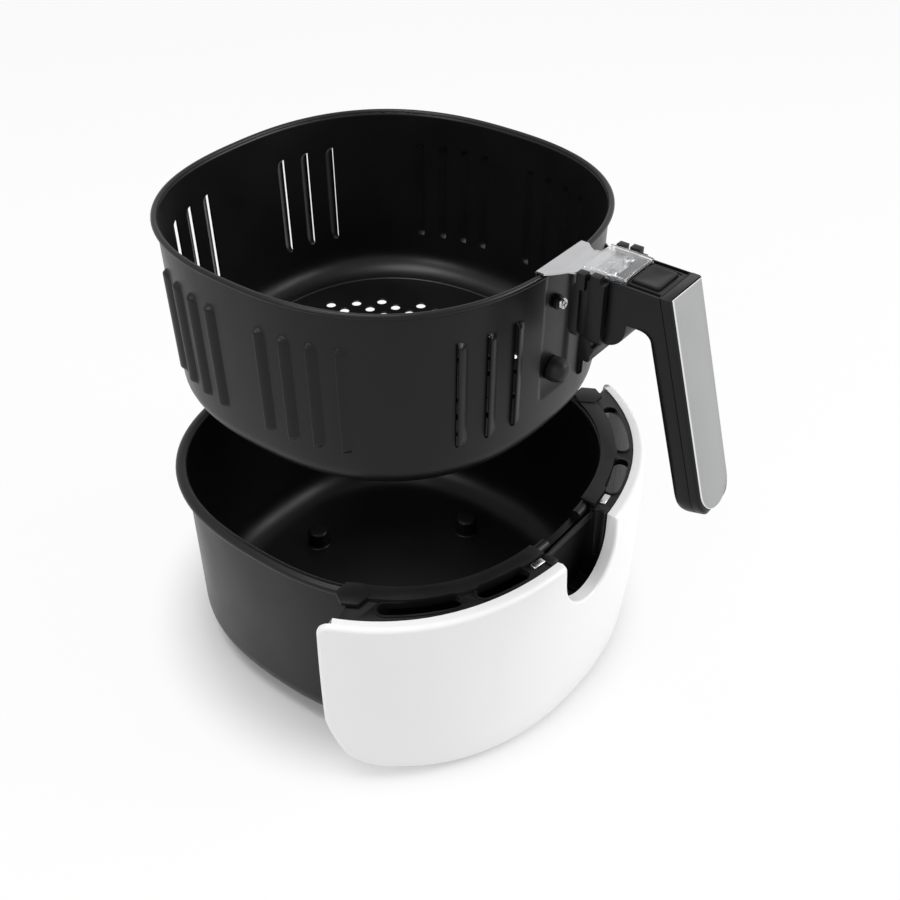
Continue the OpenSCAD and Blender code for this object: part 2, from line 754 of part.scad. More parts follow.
module handle_outer_shell() {
    color(moulded_black) on_basket() difference() {
        intersection() {
            grip_form();
            on_grip() translate([-grip_w, -over, -2 * grip_l]) cube([2 * grip_w, over + split - 0.15, 3 * grip_l]);
            translate([-grip_w, -2 * reach, -2 * grip_l]) cube([2 * grip_w, 2 * reach, 2 * grip_l + arm_top]);
        }
        on_grip() translate([0, plate_sink, 0]) rotate([90, 0, 0]) plate_form(0.15, 10);
        grip_screw_holes(1.4, 1.6);
    }
}

// Front view of the grip's plate, extruded: square at the top, round at the end.
module plate_form(room, h) {
    w = plate_half + room;
    end = grip_l - 3 + room;
    linear_extrude(height = h) polygon(concat(
        [[w, 20], [-w, 20]],
        arc([0, w - end], w, 180, 360, 16)));
}

module grip_plate() {
    color(silver) on_basket() intersection() {
        on_grip() translate([0, plate_sink, 0]) rotate([90, 0, 0]) plate_form(0, plate_sink + plate_out);
        translate([-grip_w, -2 * reach, -2 * grip_l]) cube([2 * grip_w, 2 * reach, 2 * grip_l + arm_top]);
    }
}

module button_bezel() {
    color(moulded_black) on_basket() difference() {
        side_block(body_back, bezel_end, bezel_low + 0.05, arm_top, grip_w);
        side_block(button_y - button_l / 2 - gap, button_y + button_l / 2 + gap, 0, 20, button_w + 2 * gap);
        both_sides() translate([rail_in, -bezel_end + 0.2, rail_low]) cube([rail_out - rail_in, 30, 9]);
        // Shallow step that frames the button
        side_block(button_y - button_l / 2 - 1.3, button_y + button_l / 2 + 1.3, arm_top - 0.4, 20,
            button_w + 2.6);
    }
}

module strap_screws() {
    color(bright_steel) on_basket() both_sides()
        translate([strap_screw.x, -strap_screw.y, strap_top]) screw(2.6, 1.7, 1.3, 8);
}

module block_screws() {
    color(bright_steel) on_basket() both_sides()
        translate([block_screw.x, -screw_seat, block_screw.y]) rotate([-90, 0, 0]) screw(2.3, 1.6, 1.3, 18);
}

module grip_screws() {
    color(bright_steel) on_basket() for (u = grip_screw_places)
        on_grip() translate([0, 8, -u]) rotate([-90, 0, 0]) screw(2.7, 1.8, 1.3, 6);
}

module latch_pin() {
    color(bright_steel) on_basket() cross_bar(pin_r, 24.6, pin_y, pin_z);
}

// ---------- moving pieces ----------

// Clear guard: a tray upside down, whose long sides run in the rails.
module sliding_guard() {
    corner = 1.8;
    inner = guard_half - guard_t;
    color(clear_guard) on_basket() intersection() {
        translate([0, -guard_back, 0]) rotate([90, 0, 0]) linear_extrude(height = guard_l) polygon(concat(
            [[inner, guard_low], [guard_half, guard_low]],
            arc([guard_half - corner, guard_top - corner], corner, 0, 90, 5),
            arc([corner - guard_half, guard_top - corner], corner, 90, 180, 5),
            [[-guard_half, guard_low], [-inner, guard_low], [-inner, guard_top - guard_t],
            [inner, guard_top - guard_t]]));
        // Rounded corners in plan
        mirror([0, 1, 0]) linear_extrude(height = 20) polygon(concat(
            arc([guard_half - corner, guard_back + guard_l - corner], corner, 0, 90, 5),
            arc([corner - guard_half, guard_back + guard_l - corner], corner, 90, 180, 5),
            arc([corner - guard_half, guard_back + corner], corner, 180, 270, 5),
            arc([guard_half - corner, guard_back + corner], corner, 270, 360, 5)));
    }
}

module release_button() {
    dish_r = 40;
    dish = 0.6;
    back = button_y - button_l / 2;
    color(moulded_black) on_basket() difference() {
        union() {
            side_block(back, back + button_l, flange_top - 1, button_top, button_w);
            side_block(back - flange, back + button_l + flange, flange_top - flange_t, flange_top,
                button_w + 2 * flange);
            side_block(arm_contact - 1.6, arm_contact + 1.6, latch_top + 0.4, flange_top - 1, 5);
        }
        // Hollow for the fingertip
        translate([0, -button_y, button_top + dish_r - dish]) sphere(r = dish_r, $fn = 72);
    }
}

// Compression spring under the button, as a wire along a helix.
module button_spring() {
    turns = 5;
    steps = 12;
    sides = 6;
    length = flange_top - flange_t - spring_low - spring_wire - 0.2;
    color(bright_steel) on_basket() translate([0, -spring_y, spring_low + spring_wire / 2 + 0.1])
        skin([for (k = [0:turns * steps]) let (a = 360 * k / steps, z = length * k / (turns * steps))
            [for (i = [0:sides - 1])
                let (b = -360 * i / sides, r = spring_r + spring_wire / 2 * cos(b))
                [r * cos(a), r * sin(a), z + spring_wire / 2 * sin(b)]]]);
}

module latch_lever() {
    color(moulded_black) on_basket() difference() {
        union() {
            cross_bar(hub_r + 0.4, 2 * tab_half - 8, pin_y, pin_z);
            // Tab with its nose
            side_view(2 * tab_half) polygon([[tab_back, tab_low], [tab_front - 0.8, tab_low],
                [tab_front, tab_low + 0.8], [tab_front, -36.4], [nose_y, -33.4], [nose_y, -31.8],
                [tab_front, -31.8], [tab_front, -17], [tab_front - 2, -14.9], [tab_back + 2.2, -14.9],
                [tab_back, -17]]);
            // Arm to the button, and the web that carries it
            side_view(2 * latch_half) polygon([[118, -16], [118, latch_top - 1.2], [119.2, latch_top],
                [arm_contact + 1.8, latch_top], [arm_contact + 1.8, latch_top - latch_t],
                [126, latch_top - latch_t], [124, -8], [124, -13], [120.9, -16]]);
        }
        cross_bar(pin_r + 0.06, 40, pin_y, pin_z);
    }
}

// Torsion spring: coils round the latch's hub, and a leg down to its tab.
module latch_spring() {
    wire = 0.45;
    coil_r = 2.6;
    x = 5.9;
    leg_low = -27.4;
    color(bright_steel) on_basket() {
        translate([x - 1.2, -pin_y, pin_z]) rotate([0, 90, 0])
            for (k = [0:3]) translate([0, 0, 0.8 * k])
                rotate_extrude($fn = 32) translate([coil_r, 0]) circle(r = wire, $fn = 16);
        translate([x, -pin_y - coil_r, leg_low]) cylinder(r = wire, h = pin_z - leg_low, $fn = 16);
        front_bar(wire, tab_front + 0.1, pin_y + coil_r, x, leg_low + wire);
    }
}

pan_shell();
pan_studs();
pan_brackets();
front_frame();
rim_clips();
handle_socket();
bracket_screws();
front_cover();
cover_screws();
basket_shell();
rim_strap();
wall_screw();
wall_spacer();
wall_bumper();
handle_block();
handle_body();
handle_outer_shell();
button_bezel();
grip_plate();
strap_screws();
block_screws();
grip_screws();
latch_pin();
sliding_guard();
release_button();
button_spring();
latch_lever();
latch_spring();
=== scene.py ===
"""Looks of an air fryer's drawer: the pan with its front cover, and the basket lifted out of it.

Sizes are in millimetres while a piece is modelled, and each finished mesh is in metres.
Angles are in degrees. +Z is up, and the front with the cover and the handle faces -Y.
"""

import logging
import math
from collections.abc import Callable, Sequence
from dataclasses import dataclass
from enum import Enum

import bmesh
import bpy
from mathutils import Matrix, Vector

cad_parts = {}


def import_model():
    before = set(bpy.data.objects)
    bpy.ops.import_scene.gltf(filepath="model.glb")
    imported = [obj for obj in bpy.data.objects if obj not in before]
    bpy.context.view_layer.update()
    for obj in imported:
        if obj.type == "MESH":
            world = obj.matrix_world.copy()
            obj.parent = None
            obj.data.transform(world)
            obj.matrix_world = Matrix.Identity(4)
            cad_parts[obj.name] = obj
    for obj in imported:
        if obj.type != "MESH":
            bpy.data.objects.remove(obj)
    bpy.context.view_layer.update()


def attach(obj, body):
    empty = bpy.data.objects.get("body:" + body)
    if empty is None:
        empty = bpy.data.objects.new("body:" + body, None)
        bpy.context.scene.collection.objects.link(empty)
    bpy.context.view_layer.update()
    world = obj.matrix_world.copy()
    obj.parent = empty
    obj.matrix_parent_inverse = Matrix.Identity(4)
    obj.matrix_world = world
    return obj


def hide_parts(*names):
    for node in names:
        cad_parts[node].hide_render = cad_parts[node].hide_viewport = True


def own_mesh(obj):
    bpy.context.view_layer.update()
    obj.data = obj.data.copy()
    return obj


LOG = logging.getLogger("drawer")
MM = 0.001
SMOOTH_ANGLE = 32.0
MERGE = 1e-3
RIM_Z = 256.8
UP = Vector((0.0, 0.0, 1.0))
FACING_FRONT = Matrix.Rotation(math.radians(90), 4, "X")

Point = tuple[float, float]
Ring = list[Vector]
Input = float | Sequence[float] | bpy.types.NodeSocket


class Body(Enum):
    """The bodies that pieces ride on."""

    DRAWER = "drawer"
    BASKET = "basket"
    GUARD = "guard"
    BUTTON = "button"
    LATCH = "latch"


class Slot(Enum):
    """The record's material slots."""

    COATED_STEEL = "coated_steel"
    FRAME = "frame_plastic"
    HANDLE = "handle_plastic"
    COVER = "cover_plastic"
    BRIGHT_STEEL = "bright_steel"
    PLATE = "plate_silver"
    RUBBER = "bumper_rubber"
    CLEAR = "guard_clear"


# ---------- outlines ----------


def polar(radius: float, angle: float, height: float = 0.0) -> Vector:
    """A point at a distance from Z, at an angle from +X, and at a height."""
    return Vector((radius * math.cos(math.radians(angle)), radius * math.sin(math.radians(angle)), height))


def outline(half_x: float, half_y: float, squareness: float, angle: float) -> Vector:
    """A point of a rounded-square outline.

    Args:
        half_x: Half width.
        half_y: Half depth.
        squareness: 2 is an ellipse, and more is squarer.
        angle: Angle round the middle, from +X.

    Returns:
        The point, at height 0.
    """
    c, s = math.cos(math.radians(angle)), math.sin(math.radians(angle))
    k = (abs(c) ** squareness + abs(s) ** squareness) ** (-1 / squareness)
    return Vector((half_x * k * c, half_y * k * s, 0.0))


def outward(point: Vector, half_x: float, half_y: float, squareness: float) -> Vector:
    """The direction out of a rounded-square outline.

    Args:
        point: A point of the outline.
        half_x: The outline's half width.
        half_y: Its half depth.
        squareness: Its squareness.

    Returns:
        The direction, level and of length 1.
    """
    power = squareness - 1
    across = math.copysign((abs(point.x) / half_x) ** power / half_x, point.x)
    along = math.copysign((abs(point.y) / half_y) ** power / half_y, point.y)
    return Vector((across, along, 0.0)).normalized()


def arc(centre: Point, radius: float, start: float, end: float, steps: int) -> list[Point]:
    """Points along a circular arc.

    Args:
        centre: Middle of the arc.
        radius: Its radius.
        start: Its first angle.
        end: Its last angle.
        steps: Number of steps from the first point to the last.

    Returns:
        The points, one more than the steps.
    """
    points = []
    for k in range(steps + 1):
        angle = math.radians(start + (end - start) * k / steps)
        points.append((centre[0] + radius * math.cos(angle), centre[1] + radius * math.sin(angle)))
    return points


def mix(a: float, b: float, share: float) -> float:
    """The value between a and b."""
    return a + (b - a) * share


def ease(share: float) -> float:
    """A share from 0 to 1 that starts and ends gently."""
    share = min(1.0, max(0.0, share))
    return share * share * (3 - 2 * share)


def rounding(distance: float, radius: float) -> float:
    """How far a rounded edge has fallen away.

    Args:
        distance: Distance from the edge, along the face.
        radius: The edge's radius.

    Returns:
        The fall, which is 0 past the radius.
    """
    if distance >= radius:
        return 0.0
    reach = radius - max(distance, 0.0)
    return radius - math.sqrt(radius * radius - reach * reach)


def turning_point(low: float, high: float, is_low: Callable[[float], bool]) -> float:
    """The value at which a test turns from true to false.

    Args:
        low: A value for which the test is true.
        high: A value for which it is false.
        is_low: The test.

    Returns:
        The value, found by halving.
    """
    for _ in range(40):
        middle = (low + high) / 2
        low, high = (middle, high) if is_low(middle) else (low, middle)
    return (low + high) / 2


# ---------- finishes ----------


@dataclass(frozen=True)
class Board:
    """A node tree in which nodes are added and joined."""

    tree: bpy.types.NodeTree

    def give(self, node: bpy.types.Node, inputs: dict[str | int, Input]) -> bpy.types.Node:
        """Sets a node's inputs.

        Args:
            node: The node.
            inputs: For each input, by its name or number, a value or the socket that feeds it.

        Returns:
            The same node.
        """
        for key, value in inputs.items():
            if isinstance(value, bpy.types.NodeSocket):
                self.tree.links.new(value, node.inputs[key])
            else:
                node.inputs[key].default_value = value
        return node

    def add(self, kind: str, inputs: dict[str | int, Input], operation: str = "") -> bpy.types.Node:
        """Adds a node.

        Args:
            kind: The node's type.
            inputs: Its inputs, as give takes them.
            operation: The operation of a Math or Vector Math node.

        Returns:
            The new node.
        """
        node = self.tree.nodes.new(kind)
        if operation:
            node.operation = operation
        return self.give(node, inputs)

    def noise(self, place: bpy.types.NodeSocket, scale: float, detail: float) -> bpy.types.NodeSocket:
        """A noise pattern.

        Args:
            place: The coordinates that it reads.
            scale: Its scale.
            detail: Its detail.

        Returns:
            The socket that carries it.
        """
        noise = self.add("ShaderNodeTexNoise", {"Vector": place, "Scale": scale, "Detail": detail})
        return noise.outputs["Fac"]

    def object_place(self) -> bpy.types.NodeSocket:
        """Object coordinates."""
        return self.add("ShaderNodeTexCoord", {}).outputs["Object"]

    def seen(self) -> bpy.types.NodeSocket:
        """1 for camera, glossy and transmission rays."""
        rays = self.add("ShaderNodeLightPath", {}).outputs
        first = self.add("ShaderNodeMath", {0: rays["Is Camera Ray"], 1: rays["Is Glossy Ray"]}, "MAXIMUM")
        both = self.add("ShaderNodeMath", {0: first.outputs[0], 1: rays["Is Transmission Ray"]}, "MAXIMUM")
        return both.outputs[0]

    def blend(
        self, share: bpy.types.NodeSocket, lit: bpy.types.NodeSocket, shown: bpy.types.NodeSocket
    ) -> None:
        """Feeds the tree's output with two shaders.

        Args:
            share: The share of the second.
            lit: The shader that the lamps light.
            shown: The shader that the camera is shown.
        """
        blend = self.add("ShaderNodeMixShader", {"Fac": share, 1: lit, 2: shown})
        output = next(node for node in self.tree.nodes if node.name in ("Material Output", "World Output"))
        self.give(output, {"Surface": blend.outputs["Shader"]})


@dataclass(frozen=True)
class Finish:
    """A surface finish, made as a node material on Object coordinates.

    The fine grain drives the bump. The broad patches vary the colour and the roughness.
    """

    name: str
    colour: tuple[float, float, float]
    roughness: float
    metallic: float = 0.0
    tone: float = 0.1
    patches: float = 30.0
    patch_detail: float = 4.0
    tone_range: tuple[float, float] = (0.35, 0.95)
    rough_range: tuple[float, float] = (0.4, 0.9)
    rough_spread: float = 0.05
    least_rough: float = 0.02
    grain: float = 2500.0
    grain_detail: float = 2.0
    grain_depth: float = 0.00003
    grain_strength: float = 0.3
    grain_share: float = 0.35
    stretch: tuple[float, float, float] = (1.0, 1.0, 1.0)
    specular: float = 0.5
    transmission: float = 0.0
    ior: float = 1.5

    def material(self) -> bpy.types.Material:
        """The material, made once and then shared."""
        found = bpy.data.materials.get(self.name)
        if found:
            return found
        material = bpy.data.materials.new(self.name)
        material.use_nodes = True
        board = Board(material.node_tree)
        place = board.object_place()
        drawn_out = board.add("ShaderNodeMapping", {"Vector": place, "Scale": self.stretch})
        fine = board.noise(drawn_out.outputs["Vector"], self.grain, self.grain_detail)
        broad = board.noise(place, self.patches, self.patch_detail)
        bump = board.add(
            "ShaderNodeBump",
            {"Strength": self.grain_strength, "Distance": self.grain_depth, "Height": fine},
        )
        both = board.add("ShaderNodeMath", {0: fine, 1: self.grain_share, 2: broad}, "MULTIPLY_ADD")
        ramp = board.add("ShaderNodeValToRGB", {"Fac": both.outputs[0]})
        shades = (1 - self.tone, 1 + self.tone)
        for element, position, shade in zip(ramp.color_ramp.elements, self.tone_range, shades):
            element.position = position
            element.color = (*(min(1.0, c * shade) for c in self.colour), 1.0)
        spread = board.add(
            "ShaderNodeMapRange",
            {
                "Value": both.outputs[0],
                "From Min": self.rough_range[0],
                "From Max": self.rough_range[1],
                "To Min": max(self.least_rough, self.roughness - self.rough_spread),
                "To Max": self.roughness + self.rough_spread,
            },
        )
        board.give(
            material.node_tree.nodes["Principled BSDF"],
            {
                "Base Color": ramp.outputs["Color"],
                "Roughness": spread.outputs["Result"],
                "Normal": bump.outputs["Normal"],
                "Metallic": self.metallic,
                "Specular IOR Level": self.specular,
                "Transmission Weight": self.transmission,
                "IOR": self.ior,
            },
        )
        return material


BLACK_PLASTIC = (0.006, 0.006, 0.0065)
COATED = Finish(
    "coated_black_finish", (0.0045, 0.0045, 0.0048), 0.35, tone=0.2, grain=1800, grain_strength=0.25,
    specular=0.22,
)
FRAME_BLACK = Finish("frame_black_finish", BLACK_PLASTIC, 0.42, tone=0.2, grain=3000, specular=0.2)
HANDLE_BLACK = Finish("handle_black_finish", BLACK_PLASTIC, 0.38, tone=0.2, grain=3200, specular=0.2)
COVER_WHITE = Finish(
    "cover_white_finish", (0.86, 0.86, 0.86), 0.32, tone=0.004, grain=3000, grain_strength=0.03,
    rough_spread=0.01,
)
STEEL = Finish(
    "bright_steel_finish", (0.5, 0.5, 0.51), 0.24, 1.0, tone=0.08, grain=900, stretch=(0.08, 1.0, 1.0)
)
PLATE_SILVER = Finish(
    "satin_silver_finish", (0.4, 0.403, 0.407), 0.36, 1.0, tone=0.03, grain=3500, grain_strength=0.2,
    rough_spread=0.03,
)
# Lighter, glossier silver for the grip plate's edge faces: a painted highlight line where the chamfered
# edge catches the light.
EDGE_HIGHLIGHT_SILVER = Finish(
    "painted_edge_highlight_finish", (0.8, 0.8, 0.8), 0.2, 1.0, tone=0.02, grain_strength=0.1, rough_spread=0.02
)
RUBBER = Finish(
    "black_rubber_finish", (0.008, 0.008, 0.008), 0.5, tone=0.2, grain=1500, grain_strength=0.4,
    specular=0.3,
)
CLEAR = Finish(
    "clear_plastic_finish", (0.9, 0.905, 0.91), 0.12, tone=0.005, grain=300, grain_strength=0.03,
    rough_spread=0.01, transmission=0.95, ior=1.4,
)


# ---------- mesh building ----------


def add_object(name: str, data: bpy.types.ID) -> bpy.types.Object:
    """Puts an object with the given data into the scene.

    Args:
        name: The object's name.
        data: Its mesh, lamp or camera.

    Returns:
        The object.
    """
    made = bpy.data.objects.new(name, data)
    bpy.context.scene.collection.objects.link(made)
    return made


class Form:
    """A mesh under construction, in millimetres."""

    def __init__(self) -> None:
        """An empty mesh."""
        self.bm = bmesh.new()

    def loft(
        self, rings: Sequence[Ring], caps: bool = True, closed: bool = False
    ) -> list[bmesh.types.BMVert]:
        """Extrudes a first ring from ring to ring.

        Args:
            rings: Rings with the same number of points.
            caps: Whether both ends are filled.
            closed: Whether the last ring meets the first.

        Returns:
            The new vertices.
        """
        count = len(rings[0])
        verts = list(bmesh.ops.create_circle(self.bm, segments=count, radius=1.0)["verts"])
        edges = list({edge for vert in verts for edge in vert.link_edges})
        for vert, place in zip(verts, rings[0]):
            vert.co = place
        made, first = list(verts), edges
        for ring in list(rings[1:]) + ([rings[0]] if closed else []):
            grown = bmesh.ops.extrude_edge_only(self.bm, edges=edges)["geom"]
            fresh = {item for item in grown if isinstance(item, bmesh.types.BMVert)}
            order = {vert: index for index, vert in enumerate(verts)}
            following: list[bmesh.types.BMVert] = [verts[0]] * count
            for vert in fresh:
                for edge in vert.link_edges:
                    other = edge.other_vert(vert)
                    if other in order:
                        following[order[other]] = vert
                        break
            for vert, place in zip(following, ring):
                vert.co = place
            grown_edges = [item for item in grown if isinstance(item, bmesh.types.BMEdge)]
            edges = [edge for edge in grown_edges if edge.verts[0] in fresh and edge.verts[1] in fresh]
            verts = following
            made += following
        if caps and not closed:
            bmesh.ops.contextual_create(self.bm, geom=first)
            bmesh.ops.contextual_create(self.bm, geom=edges)
        if closed:
            bmesh.ops.remove_doubles(self.bm, verts=made, dist=1e-4)
            made = [v for v in made if v.is_valid]
        return made

    def turn(self, profile: Sequence[Point], place: Matrix, steps: int = 40) -> None:
        """Spins a profile round Z.

        Args:
            profile: Its points, as radius and height.
            place: Where the turned piece goes.
            steps: Number of steps round.
        """
        before = set(self.bm.verts)
        verts = [self.bm.verts.new((radius, 0.0, height)) for radius, height in profile]
        edges = [self.bm.edges.new(pair) for pair in zip(verts, verts[1:])]
        bmesh.ops.spin(
            self.bm, geom=verts + edges, cent=(0, 0, 0), axis=(0, 0, 1), angle=math.tau, steps=steps,
            use_merge=True, use_normal_flip=False, use_duplicate=False,
        )
        fresh = [v for v in self.bm.verts if v not in before]
        bmesh.ops.remove_doubles(self.bm, verts=fresh, dist=1e-4)
        fresh = [v for v in self.bm.verts if v not in before]
        bmesh.ops.transform(self.bm, matrix=place, verts=fresh)

    def prism(self, points: Sequence[Point], low: float, high: float, place: Matrix, edge: float) -> None:
        """Extrudes a plan outline and rounds its edges.

        Args:
            points: The outline.
            low: Height of its underside.
            high: Height of its top.
            place: Where the prism goes.
            edge: Radius of its edges.
        """
        before = set(self.bm.verts)
        face = self.bm.faces.new([self.bm.verts.new((x, y, low)) for x, y in points])
        grown = bmesh.ops.extrude_face_region(self.bm, geom=[face])["geom"]
        top = [item for item in grown if isinstance(item, bmesh.types.BMVert)]
        bmesh.ops.translate(self.bm, vec=(0, 0, high - low), verts=top)
        fresh = [v for v in self.bm.verts if v not in before]
        bmesh.ops.recalc_face_normals(self.bm, faces=list({f for v in fresh for f in v.link_faces}))
        self.soften(edge, within=fresh)
        fresh = [v for v in self.bm.verts if v not in before]
        bmesh.ops.transform(self.bm, matrix=place, verts=fresh)

    def soften(
        self, radius: float, angle: float = 30.0, within: Sequence[bmesh.types.BMVert] | None = None
    ) -> None:
        """Rounds sharp edges.

        Args:
            radius: The rounding's radius.
            angle: Edges that turn by more than this are rounded.
            within: The vertices between which edges are rounded, or None for all.
        """
        allowed = set(self.bm.verts if within is None else within)
        limit = math.radians(angle)
        sharp = [e for e in self.bm.edges if len(e.link_faces) == 2 and e.calc_face_angle(0.0) > limit]
        edges = [e for e in sharp if allowed.issuperset(e.verts)]
        bmesh.ops.bevel(
            self.bm, geom=edges, offset=radius, offset_type="OFFSET", segments=2, profile=0.5,
            affect="EDGES", clamp_overlap=True, material=-1,
        )

    def cut_away(self, point: Vector, direction: Vector) -> list[bmesh.types.BMEdge]:
        """Cuts away what lies past a plane.

        Args:
            point: A point of the plane.
            direction: The side that is cut away.

        Returns:
            The edges of the cut.
        """
        cut = bmesh.ops.bisect_plane(
            self.bm, geom=[*self.bm.verts, *self.bm.edges, *self.bm.faces], dist=1e-5, plane_co=point,
            plane_no=direction, clear_outer=True,
        )["geom_cut"]
        return [item for item in cut if isinstance(item, bmesh.types.BMEdge)]

    def slice_off(self, point: Vector, direction: Vector) -> None:
        """Cuts away what lies past a plane, as cut_away does, and closes the cut."""
        rim = [edge for edge in self.cut_away(point, direction) if edge.is_boundary]
        bmesh.ops.holes_fill(self.bm, edges=rim, sides=0)

    def tube(self, path: Sequence[Vector], radius: float, sides: int = 10) -> None:
        """Sweeps a round wire along a path.

        Args:
            path: The wire's centre line.
            radius: The wire's radius.
            sides: Number of sides.
        """
        rings: list[Ring] = []
        side = UP
        for index, point in enumerate(path):
            heading = (path[min(index + 1, len(path) - 1)] - path[max(index - 1, 0)]).normalized()
            if abs(heading.dot(side)) < 0.999:
                side = (side - heading * side.dot(heading)).normalized()
            else:
                side = heading.orthogonal().normalized()
            across = heading.cross(side)
            turns = [math.tau * k / sides for k in range(sides)]
            rings.append([point + radius * (math.cos(t) * side + math.sin(t) * across) for t in turns])
        self.loft(rings)

    def clean(self) -> None:
        """Merges doubled vertices and takes out faces of no area."""
        bmesh.ops.remove_doubles(self.bm, verts=self.bm.verts, dist=MERGE)
        bmesh.ops.dissolve_degenerate(self.bm, dist=MERGE, edges=self.bm.edges)

    def finish(
        self, name: str, body: Body, slot: Slot, look: Finish, nodes: Sequence[str] = (),
        smooth: float = SMOOTH_ANGLE, recalculate: bool = True,
    ) -> bpy.types.Object:
        """Makes the piece in metres, dresses it, and seats it on its body.

        Args:
            name: The piece's name.
            body: The body that it rides on.
            slot: Its material slot; not used.
            look: Its finish.
            nodes: The construction nodes that it stands for.
            smooth: Edges sharper than this many degrees stay crisp.
            recalculate: Whether the faces are turned outwards.

        Returns:
            The finished object.
        """
        if recalculate:
            bmesh.ops.recalc_face_normals(self.bm, faces=self.bm.faces)
        bmesh.ops.scale(self.bm, vec=(MM, MM, MM), verts=self.bm.verts)
        mesh = bpy.data.meshes.new(name)
        self.bm.to_mesh(mesh)
        self.bm.free()
        mesh.polygons.foreach_set("use_smooth", [True] * len(mesh.polygons))
        mesh.set_sharp_from_angle(angle=math.radians(smooth))
        mesh.materials.append(look.material())
        piece = add_object(name, mesh)
        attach(piece, body.value)
        if nodes:
            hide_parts(*nodes)
        LOG.info("%s: %d faces", name, len(mesh.polygons))
        return piece


@dataclass(frozen=True)
class Screw:
    """A cross-head screw along +Z, with the underside of its head at height 0."""

    head_r: float
    head_h: float
    shank_r: float
    shank_l: float
    recess_half: float = 0.32
    recess_reach: float = 0.62
    recess_depth: float = 0.45
    head: tuple[Point, ...] = (
        (0.96, 0.0), (1.0, 0.12), (0.985, 0.45), (0.93, 0.75), (0.82, 0.95), (0.72, 1.0),
    )

    def _angles(self) -> list[float]:
        """Angles of the ring's points, with three at each arm of the cross."""
        corner = math.degrees(math.atan(self.recess_half / (self.head_r * self.recess_reach)))
        steps = (-corner, 0, corner, 22.5, 33.75, 45, 56.25, 67.5)
        return sorted({round(quarter + step, 4) for quarter in (0, 90, 180, 270) for step in steps})

    def _circle(self, radius: float, height: float) -> Ring:
        """A round ring."""
        return [polar(radius, angle, height) for angle in self._angles()]

    def _cross(self, height: float) -> Ring:
        """A ring round the cross recess.

        Args:
            height: The ring's height.

        Returns:
            The ring.
        """
        ring = []
        for angle in self._angles():
            near = math.radians(abs((angle + 45) % 90 - 45))
            reach = self.head_r * self.recess_reach / math.cos(near)
            ring.append(polar(min(reach, self.recess_half / max(math.sin(near), 1e-3)), angle, height))
        return ring

    def add_to(self, form: Form, place: Matrix) -> None:
        """Adds the screw to a form.

        Args:
            form: The form.
            place: Where the screw goes.
        """
        rings = [self._circle(self.shank_r, -self.shank_l), self._circle(self.shank_r, 0.0)]
        rings += [self._circle(self.head_r * r, self.head_h * z) for r, z in self.head]
        rings += [self._cross(self.head_h), self._cross(self.head_h * (1 - self.recess_depth))]
        bmesh.ops.transform(form.bm, matrix=place, verts=form.loft(rings))


def softened_node(node: str, name: str, body: Body, slot: Slot, look: Finish, edge: float) -> None:
    """Makes a piece with a construction node's own shape, but with rounded edges.

    Args:
        node: The node, which the piece stands for.
        name: The piece's name.
        body: The body that it rides on.
        slot: Its material slot.
        look: Its finish.
        edge: Radius of its edges.
    """
    form = Form()
    form.bm.from_mesh(bpy.data.objects[node].data)
    bmesh.ops.scale(form.bm, vec=(1 / MM,) * 3, verts=form.bm.verts)
    bmesh.ops.remove_doubles(form.bm, verts=form.bm.verts, dist=MERGE)
    bmesh.ops.dissolve_limit(
        form.bm, angle_limit=math.radians(0.5), use_dissolve_boundaries=False, verts=form.bm.verts,
        edges=form.bm.edges,
    )
    form.soften(edge)
    form.finish(name, body, slot, look, [node])


# ---------- pan ----------


